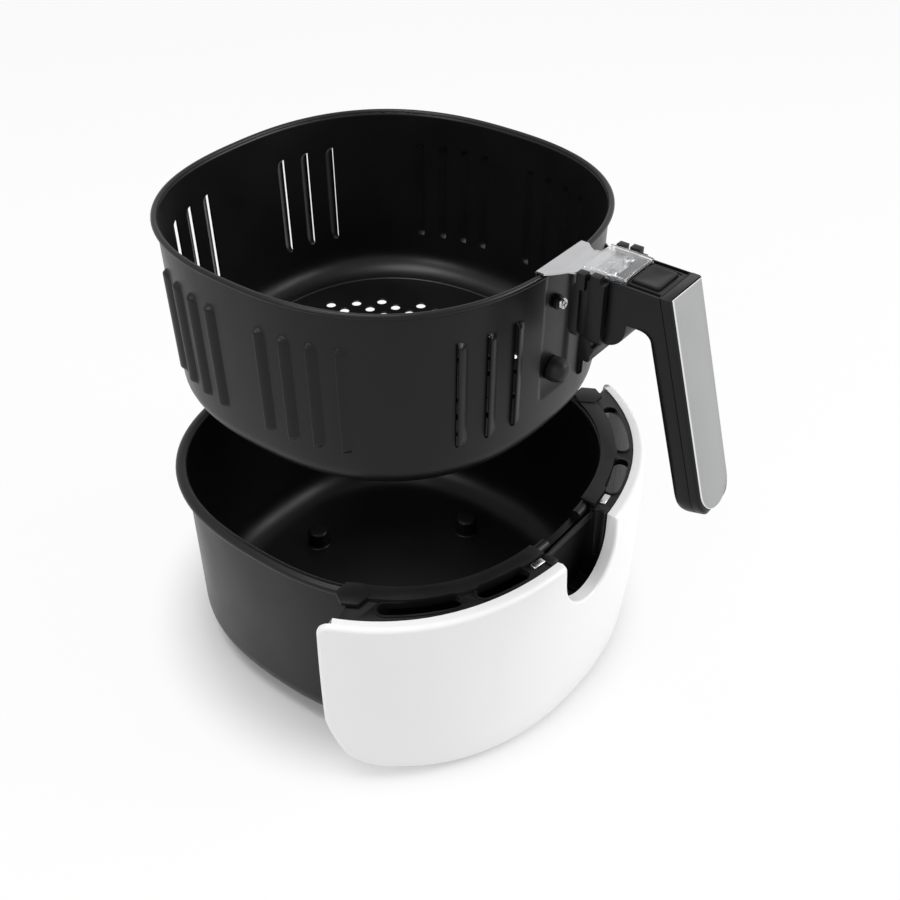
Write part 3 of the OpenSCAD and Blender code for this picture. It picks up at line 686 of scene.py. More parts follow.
@dataclass
class Pan:
    """The deep-drawn pan, its studs and the brackets on its wall."""

    half_w: float = 109.0
    half_d: float = 111.9
    squareness: float = 2.44
    height: float = 111.0
    sheet: float = 1.0
    wall_in: float = 4.8
    wall_top: float = 99.0
    floor_r: float = 20.0
    floor_edge: float = 3.0
    columns: int = 144
    gate_half: float = 13.5
    gate_z: float = 105.5
    gate_steps: int = 4
    stud_r: float = 6.5
    stud_circle: float = 66.0
    stud_h: float = 10.5
    stud_edge: float = 1.8
    stud_foot: float = 1.2
    bracket_edge: float = 0.4

    @property
    def bead_r(self) -> float:
        """Radius of the rolled bead."""
        return (self.wall_in + self.sheet) / 2

    def section(self) -> list[Point]:
        """Inset and height, up the outside, round the bead and down the inside."""
        bead, foot = self.bead_r, (self.wall_in + self.floor_r, self.floor_r)
        under = -math.degrees(math.acos((self.wall_in - bead) / bead))
        return [
            (foot[0] + self.floor_edge, 0.0),
            *arc(foot, self.floor_r, 270, 180, 9),
            (self.wall_in, self.wall_top),
            *arc((bead, self.height - bead), bead, under, -360, 16),
            (self.wall_in + self.sheet, self.wall_top),
            *arc(foot, self.floor_r - self.sheet, 180, 270, 9),
            (foot[0] + self.floor_edge, self.sheet),
        ]

    def _columns(self) -> list[tuple[float, bool]]:
        """Angle of every column, and whether it lies in the rim's gap.

        Each side of the gap has two columns.
        """
        half = math.degrees(math.asin(self.gate_half / (self.half_d - self.wall_in)))
        gap = [270 + half * k / self.gate_steps for k in range(-self.gate_steps, self.gate_steps + 1)]
        around = 360 - 2 * half
        count = round(around * self.columns / 360)
        wall = [270 + half + around * k / count for k in range(count + 1)]
        return [(angle, True) for angle in gap] + [(angle, False) for angle in wall]

    def _in_gap(self, inset: float, height: float) -> Point:
        """Where a point of the section lies in the rim's gap.

        Args:
            inset: The point's inset.
            height: Its height.

        Returns:
            Its inset and height there, which is the gap's sill for all that stands above it.
        """
        if height <= self.gate_z:
            return inset, height
        below_bead = height < self.height - 2 * self.bead_r + 0.4
        outside = inset < self.bead_r or (below_bead and inset <= self.wall_in)
        return self.wall_in + (0.0 if outside else self.sheet), self.gate_z

    def shell(self) -> None:
        """The drawn shell, with the gap in its rim that lets the basket's strap through."""
        columns = self._columns()
        corner = 2 * self.gate_steps
        sides = {0: -1, corner: 1, corner + 1: 1, len(columns) - 1: -1}
        rings = []
        for inset, height in self.section():
            ring = []
            for index, (angle, in_gap) in enumerate(columns):
                into, up = self._in_gap(inset, height) if in_gap else (inset, height)
                point = outline(self.half_w - into, self.half_d - into, self.squareness, angle)
                if index in sides:
                    point.x = sides[index] * self.gate_half
                point.z = up
                ring.append(point)
            rings.append(ring)
        form = Form()
        form.loft(rings)
        form.clean()
        form.finish("drawn_pan", Body.DRAWER, Slot.COATED_STEEL, COATED, ["pan_shell"])

    def studs(self) -> None:
        """Four domed studs on the floor."""
        edge, foot = self.stud_edge, self.stud_foot
        profile = [
            (0.0, self.stud_h),
            *arc((self.stud_r - edge, self.stud_h - edge), edge, 90, 0, 5),
            (self.stud_r, foot),
            *arc((self.stud_r + foot, foot), foot, 180, 260, 4),
            (0.0, 0.0),
        ]
        form = Form()
        for quarter in range(4):
            turn = Matrix.Rotation(math.radians(90 * quarter), 4, "Z")
            form.turn(profile, turn @ Matrix.Translation((self.stud_circle, 0, self.sheet)))
        form.finish("pan_floor_studs", Body.DRAWER, Slot.COATED_STEEL, COATED, ["pan_studs"])

    def build(self) -> None:
        """Builds the pan's pieces."""
        self.shell()
        self.studs()
        softened_node(
            "pan_brackets", "wall_brackets", Body.DRAWER, Slot.BRIGHT_STEEL, STEEL, self.bracket_edge
        )


# ---------- front cover ----------


@dataclass
class FrontCover:
    """The white cover: a curved slab with a round notch for the handle."""

    half_x: float = 129.0
    half_y: float = 123.1
    squareness: float = 2.27
    top: float = 110.4
    low: float = 1.7
    thick: float = 7.2
    thick_z: float = 70.4
    thinning: float = 3.7
    thinning_l: float = 67.0
    span: float = 64.0
    half_w: float = 126.5
    sole_r: float = 800.0
    corner_r: float = 14.0
    corner_blend: float = 1.8
    side_r: float = 154.0
    side_from: float = 40.0
    sweep: float = 16.0
    shoulder_z: float = 62.0
    shoulder_r: float = 7.0
    degree: float = 2.2
    notch_r: float = 22.5
    notch_depth: float = 34.3
    top_round: float = 2.4
    edge_round: float = 1.3
    straight_to: float = 12.0
    straight_fade: float = 18.0
    fan_to: float = 60.0
    fan_fade: float = 30.0
    fix: float = 44.0
    fix_z: float = 20.0
    corner_end: float = 46.0
    near_sole: tuple[float, ...] = (0.0, 0.25, 0.7, 1.3, 5.0)
    near_notch: tuple[float, ...] = (6.0, 3.5, 2.0, 1.3, 0.7, 0.25, 0.0)
    beside_notch: tuple[float, ...] = (0.0, 0.25, 0.7, 1.3, 2.0, 3.5, 6.0)
    above_notch: tuple[float, ...] = (0.3, 0.52, 0.68, 0.8, 0.9, 1.0)
    edge_turns: tuple[float, ...] = (18.0, 36.0, 54.0, 72.0, 90.0)
    end_shares: tuple[float, ...] = (
        0.12, 0.25, 0.38, 0.5, 0.62, 0.72, 0.8, 0.86, 0.9, 0.93, 0.955, 0.975, 0.99, 0.998, 1.0,
    )
    notch_steps: int = 9
    wall_steps: int = 12
    wall_from: float = 9.0
    slope_step: float = 0.1
    on_face: float = 0.02

    @property
    def notch_mid(self) -> float:
        """Height of the middle of the notch's round end."""
        return self.top - self.notch_depth + self.notch_r

    def inner(self, angle: float) -> Vector:
        """A point of the inner curve, at an angle from the front."""
        return outline(self.half_x, self.half_y, self.squareness, angle - 90)

    def depth(self, height: float) -> float:
        """Thickness at a height."""
        return self.thick - self.thinning * ((self.thick_z - height) / self.thinning_l) ** 2

    def outer(self, angle: float, height: float, fall: float = 0.0) -> Vector:
        """A point of the outer face.

        Args:
            angle: Its angle from the front.
            height: The height at which the thickness is taken.
            fall: What a rounded edge has fallen away.

        Returns:
            The point, at height 0.
        """
        base = self.inner(angle)
        return base + (self.depth(height) - fall) * outward(base, self.half_x, self.half_y, self.squareness)

    def angle_at(self, x: float) -> float:
        """The angle where the inner curve has that x."""
        return turning_point(-89.0, 89.0, lambda angle: self.inner(angle).x < x)

    def face_angle(self, angle: float, height: float) -> float:
        """The outer face's angle for a station, so that cuts near the front run straight back.

        Args:
            angle: The station's angle on the inner curve.
            height: The height.

        Returns:
            The angle to take on the outer face.
        """
        share = 1 - ease((abs(angle) - self.straight_to) / self.straight_fade)
        if share <= 0:
            return angle
        step = self.slope_step
        slope = (self.outer(angle + step, height).x - self.outer(angle - step, height).x) / (2 * step)
        return angle - share * (self.outer(angle, height).x - self.inner(angle).x) / slope

    @property
    def foot(self) -> Point:
        """Half width and height at which the side's sweep meets the lower corner."""
        back, down = polar(self.side_r, self.sweep).xy
        return self.half_w - self.side_r + back, self.shoulder_z - down

    @property
    def corner(self) -> Point:
        """Middle of the lower corner's arc, in the front view."""
        x, z = polar(self.corner_r, self.sweep).xy
        return self.foot[0] - x, self.foot[1] + z

    def sole(self, x: float) -> float:
        """Height of the lower edge at x.

        Args:
            x: Distance from the middle, to either side.

        Returns:
            The height.
        """
        corner_x, corner_z = self.corner
        if abs(x) <= corner_x + self.corner_blend:
            return self.low + self.sole_r - math.sqrt(self.sole_r**2 - x * x)
        return corner_z - math.sqrt(max(0.0, self.corner_r**2 - (abs(x) - corner_x) ** 2))

    def side(self, height: float) -> float:
        """Half width of the front view at a height.

        Args:
            height: The height.

        Returns:
            The half width.
        """
        if height < self.foot[1]:
            corner_x, corner_z = self.corner
            return corner_x + math.sqrt(max(0.0, self.corner_r**2 - (corner_z - height) ** 2))
        if height < self.shoulder_z:
            return self.half_w - self.side_r + math.sqrt(self.side_r**2 - (self.shoulder_z - height) ** 2)
        return self.half_w

    def square_end(self, height: float) -> float:
        """The angle at which the cover would end at a height with no rounded upper corner.

        Args:
            height: The height.

        Returns:
            The angle, from the front.
        """
        side = self.side(height)
        if self.outer(self.span, height).x <= side:
            return self.span
        return turning_point(self.side_from, self.span, lambda angle: self.outer(angle, height).x < side)

    def last_angle(self, height: float) -> float:
        """The angle at which the cover ends at a height.

        Args:
            height: The height.

        Returns:
            The angle, from the front.
        """
        up = height - self.top + self.shoulder_r
        back = self.shoulder_r - math.sqrt(max(0.0, self.shoulder_r**2 - up * up)) if up > 0 else 0.0
        return self.square_end(height) - back / self.degree

    def _end_at(self, angle: float, height: float, last: float) -> float:
        """The angle of an end station at a height, on the side that its own angle lies."""
        return math.copysign(mix(self.fix, self.last_angle(height), last), angle)

    def _edge_gap(self, angle: float, height: float) -> float:
        """Distance to the edge near the cover's side and its upper corner.

        Args:
            angle: Angle from the front.
            height: Height.

        Returns:
            The distance to the nearer edge.
        """
        beside = (self.square_end(height) - abs(angle)) * self.degree
        below, r = self.top - height, self.shoulder_r
        if beside < r and below < r:
            return r - math.hypot(r - beside, r - below)
        return min(beside, below)

    def _notch_gap(self, x: float, height: float) -> float:
        """Distance to the notch's edge."""
        below = self.notch_mid - height
        return (math.hypot(x, below) if below > 0 else abs(x)) - self.notch_r

    def _rows(self, x: float, last: float) -> list[float]:
        """Heights of the outer face's rows, up to the level of the notch's middle.

        Args:
            x: The station's x.
            last: Share of the way from the fixed angle to the cover's end.

        Returns:
            The heights, which run round the notch near it and are even further out.
        """
        rows = [self.sole(x) + d for d in self.near_sole]
        if not last and abs(x) <= self.fan_to:
            fan = []
            for d in self.near_notch:
                reach = (self.notch_r + d) ** 2 - x * x
                fan.append(self.notch_mid - math.sqrt(max(reach, (0.35 * d) ** 2)))
            return rows + [mix(rows[-1], fan[0], share) for share in (0.25, 0.5, 0.75)] + fan
        count = 3 + len(self.near_notch)
        gather = 1 + 0.25 * ease((abs(x) - self.fan_to) / self.fan_fade) + 0.45 * last
        rows += [mix(rows[-1], self.notch_mid, ((k + 1) / count) ** gather) for k in range(count)]
        return self._end_rows(rows, last) if last else rows

    def _end_rows(self, rows: list[float], last: float) -> list[float]:
        """Rows near the cover's end, where the lower corner turns up.

        Args:
            rows: The rows that the station would have on a level edge.
            last: Share of the way from the fixed angle to the cover's end.

        Returns:
            The rows, from the turned-up edge.
        """
        arc_mid = self.corner[1] - self.corner_r * math.sin(math.radians(self.corner_end))
        base = mix(self.sole(self.outer(self.fix, self.fix_z).x), arc_mid, last)
        for _ in range(4):
            at = self._end_at(1.0, base, last)
            base = self.sole(self.outer(at, base).x) if last < 1 else arc_mid
        scale = (rows[-1] - base) / (rows[-1] - rows[0])
        count = len(self.near_sole)
        near = [base + height - rows[0] for height in rows[:count]]
        return near + [base + (height - rows[0]) * scale for height in rows[count:]]

    def _station(self, angle: float, x: float, cut: bool = False, last: float = 0.0) -> Ring:
        """One upright ring of the cover.

        Args:
            angle: Angle of the inner curve.
            x: The inner curve's x there.
            cut: Whether the station lies in the notch.
            last: Share of the way from the fixed angle to the cover's end.

        Returns:
            The ring's points, up the outer face and down the inner one.
        """
        rows = self._rows(x, last)

        def outside(height: float, fall: float = 0.0) -> Vector:
            """A point of the outer face.

            Args:
                height: Its height.
                fall: What the rounded top edge has fallen away.

            Returns:
                The point.
            """
            if last:
                at = self._end_at(angle, height, last)
                fall = rounding(self._edge_gap(at, height), self.top_round)
            else:
                at = self.face_angle(angle, height)
                fall += rounding(self._notch_gap(x, height), self.edge_round)
            point = self.outer(at, height, fall + rounding(height - rows[0], self.edge_round))
            point.z = height
            return point

        def inside(height: float) -> Vector:
            """A point of the inner face, at a height."""
            point = self.inner(self._end_at(angle, height, last) if last else angle)
            point.z = height
            return point

        ring = [outside(height) for height in rows]
        if cut:
            start, end = ring[-1], inside(rows[-1])
            count = len(self.above_notch) + len(self.edge_turns) + 1
            ring += [start.lerp(end, (k + 1) / (count + 1)) for k in range(count)]
            ring += [end, end.lerp(inside(rows[0]), 0.02)]
        else:
            straight = self.top - self.top_round
            ring += [outside(mix(self.notch_mid, straight, share)) for share in self.above_notch]
            for turn in self.edge_turns:
                theta = math.radians(turn)
                fall = self.top_round * (1 - math.cos(theta))
                ring.append(outside(straight + self.top_round * math.sin(theta), fall))
            ring += [inside(self.top - 0.02), inside(rows[-1]), inside(rows[-2])]
        return ring + [inside(mix(rows[0], rows[-2], 0.5)), inside(rows[0])]

    def _face_normal(self, point: Vector) -> Vector:
        """The true normal of the outer face.

        Args:
            point: A point of the cover.

        Returns:
            The normal, or a zero vector for a point that lies off the outer face.
        """
        height, step = point.z, self.slope_step
        angle = turning_point(-self.span - 2, self.span + 2, lambda at: self.outer(at, height).x < point.x)
        if (self.outer(angle, height) - point.xy.to_3d()).length > self.on_face:
            return Vector()
        across = self.outer(angle + step, height) - self.outer(angle - step, height)
        up = self.outer(angle, height + step) - self.outer(angle, height - step) + 2 * step * UP
        return across.cross(up).normalized()

    def _shade(self, mesh: bpy.types.Mesh) -> None:
        """Gives the outer face its true normals, so that no row or column of faces shows in the gloss.

        Args:
            mesh: The cover's mesh, in metres.
        """
        true = [self._face_normal(vert.co / MM) for vert in mesh.vertices]
        normals = []
        for face in mesh.polygons:
            normals += [true[v] if true[v].dot(face.normal) > 0.9 else Vector() for v in face.vertices]
        mesh.normals_split_custom_set(normals)

    def build(self) -> None:
        """Builds the cover: its right half from the middle outwards, and the left half as its mirror."""
        half: list[Ring] = []
        for k in range(self.notch_steps + 1):
            x = self.notch_r * math.sin(math.radians(90 * k / self.notch_steps))
            half.append(self._station(self.angle_at(x), x, cut=True))
        for beside in self.beside_notch:
            x = self.notch_r + beside
            half.append(self._station(self.angle_at(x), x))
        start = self.angle_at(self.notch_r + self.wall_from)
        for k in range(self.wall_steps + 1):
            angle = mix(start, self.fix, k / self.wall_steps)
            half.append(self._station(angle, self.inner(angle).x))
        for last in self.end_shares:
            at = mix(self.fix, self.span, last)
            half.append(self._station(at, self.outer(at, self.fix_z).x, last=last))
        left = [[Vector((-p.x, p.y, p.z)) for p in ring] for ring in reversed(half[1:])]
        form = Form()
        form.loft(left + half)
        form.clean()
        piece = form.finish(
            "white_front_cover", Body.DRAWER, Slot.COVER, COVER_WHITE, ["front_cover"], smooth=40
        )
        self._shade(piece.data)


# ---------- front frame and handle socket ----------


@dataclass
class FrontFrame:
    """The black frame between the pan and the cover, with the handle's socket and the clips."""

    edge: float = 0.35

    def build(self) -> None:
        """Builds the frame's pieces."""
        for node, name, look, slot in (
            ("front_frame", "slotted_front_frame", FRAME_BLACK, Slot.FRAME),
            ("handle_socket", "handle_guide_socket", FRAME_BLACK, Slot.FRAME),
            ("rim_clips", "bent_rim_clips", STEEL, Slot.BRIGHT_STEEL),
        ):
            softened_node(node, name, Body.DRAWER, slot, look, self.edge)


# ---------- basket ----------


@dataclass
class Basket:
    """The perforated basket and the fittings on its front wall. Heights are taken from the rim."""

    rim_z: float = RIM_Z
    radius: float = 101.5
    squareness: float = 2.4
    height: float = 95.0
    sheet: float = 0.8
    bead_r: float = 1.4
    bead_steps: int = 144
    bead_sides: int = 16
    wall_in: float = 2.0
    draft: float = 1.5
    floor_r: float = 14.0
    plain_columns: int = 96
    neck_rows: tuple[float, ...] = (-1.4, -3.0, -4.2, -5.4, -6.6, -10.0, -14.0)
    louvre_top: float = -18.0
    louvre_l: float = 55.0
    louvre_w: float = 5.0
    louvre_out: float = 2.2
    louvre_round: float = 3.6
    louvre_ramp: float = 2.4
    louvre_rows: tuple[float, ...] = (-0.5, 0.0, 0.12, 0.4, 0.8, 1.3, 1.9, 2.6, 3.4, 4.4, 5.4)
    side_louvres: tuple[float, ...] = (8.6, 15.9, 23.1, 30.4)
    end_louvres: tuple[float, ...] = (15.4, 23.7, 31.9)
    across: tuple[float, ...] = (0.0, 0.12, 0.3, 0.5, 0.68, 0.84, 0.95, 1.0)
    pad_half: float = 4.8
    pad_blend: float = 1.7
    pad_in: float = 1.6
    pad_top: float = -3.0
    pad_low: float = -69.0
    pad_columns: tuple[float, ...] = (-2.4, -0.5, 0.0, 0.6, 1.1, 1.7, 2.2)
    hole_r: float = 2.6
    hole_edge: float = 0.35
    hole_edge_h: float = 0.3
    hole_sides: int = 16
    pitch: float = 10.0
    field_x: float = 60.0
    field_y: float = 72.0
    floor_cells: int = 18
    floor_cuts: int = 72
    screw_z: float = -21.0
    screw_y: float = -99.9
    spacer_y: float = -97.7
    spacer_profile: tuple[Point, ...] = (
        (1.7, 0.0), (3.2, 0.0), (3.4, 0.3), (3.4, 1.85), (3.2, 2.15), (1.7, 2.15),
    )
    bumper_z: float = -56.0
    bumper_profile: tuple[Point, ...] = (
        (0.0, 94.4), (3.2, 94.4), (3.9, 94.9), (3.9, 95.6), (2.0, 95.7), (2.0, 97.2), (5.6, 97.2),
        (6.0, 97.7), (6.0, 100.6), (5.8, 101.4), (5.2, 103.2), (4.6, 104.5), (3.6, 105.3), (1.8, 105.65),
        (0.0, 105.7),
    )

    def _louvre_angles(self) -> list[float]:
        """Angles of the louvres round the wall."""
        angles = []
        for middles, offs in (((0, 180), self.side_louvres), ((90, 270), self.end_louvres)):
            angles += [middle + turn * off for middle in middles for turn in (-1, 1) for off in offs]
        return angles

    def _half_angle(self, angle: float) -> float:
        """Half of a louvre's width as an angle.

        Args:
            angle: Angle of the louvre's middle.

        Returns:
            The half width, as an angle.
        """
        mid = self.radius - self.wall_in - self.draft / 2
        step = 0.05
        before, after = (outline(mid, mid, self.squareness, angle + turn) for turn in (-step, step))
        return self.louvre_w / 2 / ((after - before).length / (2 * step))

    def _columns(self) -> list[tuple[float, float | None]]:
        """Angle of every column, and its share of the way from a louvre's slit to its root.

        A slit has two columns at one angle: the wall's edge, with no share, and the louvre's free edge.
        """
        louvres = [(a % 360, self._half_angle(a)) for a in self._louvre_angles()]
        columns: list[tuple[float, float | None]] = []
        for middle, half in louvres:
            columns += [(middle + half * side, None) for side in (-1.2, -1, 1.2)]
            columns += [(middle + half * (2 * share - 1), share) for share in self.across]
        pad = [270 + side * (self.pad_half + off) for side in (-1, 1) for off in self.pad_columns]
        for angle in [360 / self.plain_columns * k for k in range(self.plain_columns)] + pad:
            if all(abs((angle - middle + 180) % 360 - 180) > half * 1.3 for middle, half in louvres):
                columns.append((angle % 360, None))
        return sorted(columns, key=lambda column: (round(column[0] % 360, 4), column[1] is not None))

    def _rows(self) -> list[Point]:
        """Inset and height of every row, from the rim down."""
        top, low, end = self.louvre_top, self.louvre_top - self.louvre_l, self.louvre_rows[-1]
        heights = [*self.neck_rows, *(top - off for off in self.louvre_rows)]
        heights += [mix(top - end, low + end, k / 8) for k in range(1, 8)]
        heights += [low + off for off in reversed(self.louvre_rows)]
        foot = (self.wall_in + self.draft + self.floor_r, self.floor_r - self.height)
        return [(self._inset(z), z) for z in heights] + arc(foot, self.floor_r, 180, 270, 12)

    def _inset(self, z: float) -> float:
        """How far in the drawn wall lies at a height."""
        return self.wall_in + self.draft * -z / (self.height - self.floor_r)

    def _rise(self, share: float, z: float) -> float:
        """How far a louvre stands out.

        Args:
            share: Share of the way from its slit to its root.
            z: Height.

        Returns:
            The distance out from the wall.
        """
        middle = self.louvre_top - self.louvre_l / 2
        rounded = self.louvre_round * (1 - math.sqrt(max(0.0, 1 - share * share)))
        end = self.louvre_l / 2 - abs(z - middle) - rounded
        ramp = math.sin(min(1.0, max(0.0, end / self.louvre_ramp)) * math.pi / 2)
        return self.louvre_out * math.cos(share * math.pi / 2) * ramp

    def _pad(self, angle: float, z: float) -> float:
        """How far in the pressed flat at the front lies.

        Args:
            angle: Angle round the basket.
            z: Height.

        Returns:
            The distance in from the wall.
        """
        off = abs((angle - 270 + 180) % 360 - 180)
        side = 1 - ease((off - self.pad_half) / self.pad_blend)
        return self.pad_in * side * ease((self.pad_top - z) / 2.5) * ease((z - self.pad_low) / 3)

    def wall(self) -> None:
        """The drawn wall with its louvres, down to the edge of the flat floor."""
        columns, rows = self._columns(), self._rows()
        rings = []
        for inset, z in rows:
            ring = []
            for angle, share in columns:
                half = self.radius - inset
                point = outline(half, half, self.squareness, angle)
                if share is not None:
                    point += self._rise(share, z) * outward(point, half, half, self.squareness)
                ring.append(point + Vector((0, self._pad(angle, z), z)))
            rings.append(ring)
        form = Form()
        made = form.loft(rings, caps=False)
        self._open_slits(form, made, columns, rows)
        form.clean()
        self._face_out(form)
        bmesh.ops.translate(form.bm, vec=(0, 0, self.rim_z), verts=form.bm.verts)
        piece = form.finish(
            "louvred_wall", Body.BASKET, Slot.COATED_STEEL, COATED, ["basket_shell"], recalculate=False
        )
        sheet = piece.modifiers.new("sheet", "SOLIDIFY")
        sheet.thickness = self.sheet * MM
        sheet.offset = -1.0

    def _open_slits(
        self, form: Form, made: Sequence[bmesh.types.BMVert], columns: Sequence[tuple[float, float | None]],
        rows: Sequence[Point],
    ) -> None:
        """Takes out the faces between each louvre's free edge and the wall's edge.

        Args:
            form: The wall.
            made: Its vertices, ring by ring.
            columns: The columns, as _columns gives them.
            rows: The rows, as _rows gives them.
        """
        count = len(columns)
        low, high = self.louvre_top - self.louvre_l - 1e-6, self.louvre_top + 1e-6
        gone = []
        for column, (_, share) in enumerate(columns):
            for row in range(len(rows) - 1):
                if share != 0.0 or rows[row][1] > high or rows[row + 1][1] < low:
                    continue
                a, b = row * count + column - 1, row * count + column
                face = form.bm.faces.get((made[a], made[b], made[b + count], made[a + count]))
                if face:
                    gone.append(face)
        bmesh.ops.delete(form.bm, geom=gone, context="FACES_ONLY")
        LOG.info("slits opened with %d faces", len(gone))

    @staticmethod
    def _face_out(form: Form) -> None:
        """Turns the wall's faces outwards.

        Args:
            form: The wall.
        """
        bmesh.ops.recalc_face_normals(form.bm, faces=form.bm.faces)
        score = sum(f.normal.dot(f.calc_center_median().xy.to_3d()) for f in form.bm.faces)
        if score < 0:
            bmesh.ops.reverse_faces(form.bm, faces=form.bm.faces)

    def bead(self) -> None:
        """The rolled bead round the rim."""
        r, sides = self.bead_r, self.bead_sides
        section = arc((r, self.rim_z - r), r, 0, 360 - 360 / sides, sides - 1)
        rings = []
        for k in range(self.bead_steps):
            ring = []
            for inset, z in section:
                half = self.radius - inset
                ring.append(outline(half, half, self.squareness, 360 * k / self.bead_steps) + z * UP)
            rings.append(ring)
        form = Form()
        form.loft(rings, closed=True)
        form.finish("rolled_rim_bead", Body.BASKET, Slot.COATED_STEEL, COATED)

    def _holes(self, form: Form, low: float, high: float) -> set[tuple[int, int]]:
        """Adds the cells of the floor that have a hole.

        Args:
            form: The floor.
            low: Height of its underside.
            high: Height of its upper face.

        Returns:
            The cells' places in the grid.
        """
        angles = [360 * k / self.hole_sides for k in range(self.hole_sides)]
        corners = [polar(1.0, angle) for angle in angles]
        square = [self.pitch / 2 / max(abs(corner.x), abs(corner.y)) * corner for corner in corners]
        bevel = high - self.hole_edge_h
        rings = [[self.hole_r * corner + z * UP for corner in corners] for z in (bevel, low)]
        rings.insert(0, [(self.hole_r + self.hole_edge) * corner + high * UP for corner in corners])
        rings.insert(0, [corner + high * UP for corner in square])
        rings.append([corner + low * UP for corner in square])
        across, along = math.ceil(self.field_x / self.pitch), math.floor(self.field_y / self.pitch)
        holed = set()
        for i in range(-across, across):
            for j in range(-along, along):
                x, y = (i + 0.5) * self.pitch, (j + 0.5) * self.pitch
                if (x / self.field_x) ** 2 + (y / self.field_y) ** 2 <= 1:
                    holed.add((i, j))
                    bmesh.ops.translate(form.bm, vec=(x, y, 0), verts=form.loft(rings, caps=False))
        return holed

    def _plain_cells(self, form: Form, z: float, holed: set[tuple[int, int]]) -> None:
        """Adds one face of the floor, less the cells that have a hole.

        Args:
            form: The floor.
            z: Height of the face.
            holed: The cells that have a hole.
        """
        cells = self.floor_cells
        size = cells / 2 * self.pitch
        grid = bmesh.ops.create_grid(form.bm, x_segments=cells, y_segments=cells, size=size)["verts"]
        bmesh.ops.translate(form.bm, vec=(0, 0, z), verts=grid)
        covered = []
        for face in {f for v in grid for f in v.link_faces}:
            centre = face.calc_center_median()
            if (math.floor(centre.x / self.pitch), math.floor(centre.y / self.pitch)) in holed:
                covered.append(face)
        bmesh.ops.delete(form.bm, geom=covered, context="FACES")

    def floor(self) -> None:
        """The flat floor with its field of round holes, cut to the wall's inner edge."""
        form = Form()
        low, high = self.rim_z - self.height, self.rim_z - self.height + self.sheet
        holed = self._holes(form, low, high)
        for z in (high, low):
            self._plain_cells(form, z, holed)
        edge = self.radius - self.wall_in - self.draft - self.floor_r
        for k in range(self.floor_cuts):
            point = outline(edge, edge, self.squareness, 360 * k / self.floor_cuts)
            form.cut_away(point + high * UP, outward(point, edge, edge, self.squareness))
        bmesh.ops.remove_doubles(form.bm, verts=form.bm.verts, dist=MERGE)
        form.finish("perforated_floor", Body.BASKET, Slot.COATED_STEEL, COATED)

    def fittings(self) -> None:
        """The screw, its spacer and the rubber bumper on the front wall."""
        form = Form()
        place = Matrix.Translation((0, self.screw_y, self.rim_z + self.screw_z)) @ FACING_FRONT
        Screw(2.8, 2.0, 1.5, 6.0).add_to(form, place)
        form.finish("wall_cross_screw", Body.BASKET, Slot.BRIGHT_STEEL, STEEL, ["wall_screw"])
        form = Form()
        place = Matrix.Translation((0, self.spacer_y, self.rim_z + self.screw_z)) @ FACING_FRONT
        form.turn(self.spacer_profile, place)
        form.finish("rubber_spacer", Body.BASKET, Slot.RUBBER, RUBBER, ["wall_spacer"])
        form = Form()
        place = Matrix.Translation((0, 0, self.rim_z + self.bumper_z)) @ FACING_FRONT
        form.turn(self.bumper_profile, place, steps=16)
        form.finish("rubber_bumper", Body.BASKET, Slot.RUBBER, RUBBER, ["wall_bumper"])

    def build(self) -> None:
        """Builds the basket's pieces."""
        self.wall()
        self.bead()
        self.floor()
        self.fittings()


# ---------- handle ----------


@dataclass(frozen=True)
class Section:
    """A cut across the handle's body, from its inner point to its outer one."""

    inner: Point
    outer: Point
    half: float
    corner: float
    pocket: float = 0.0


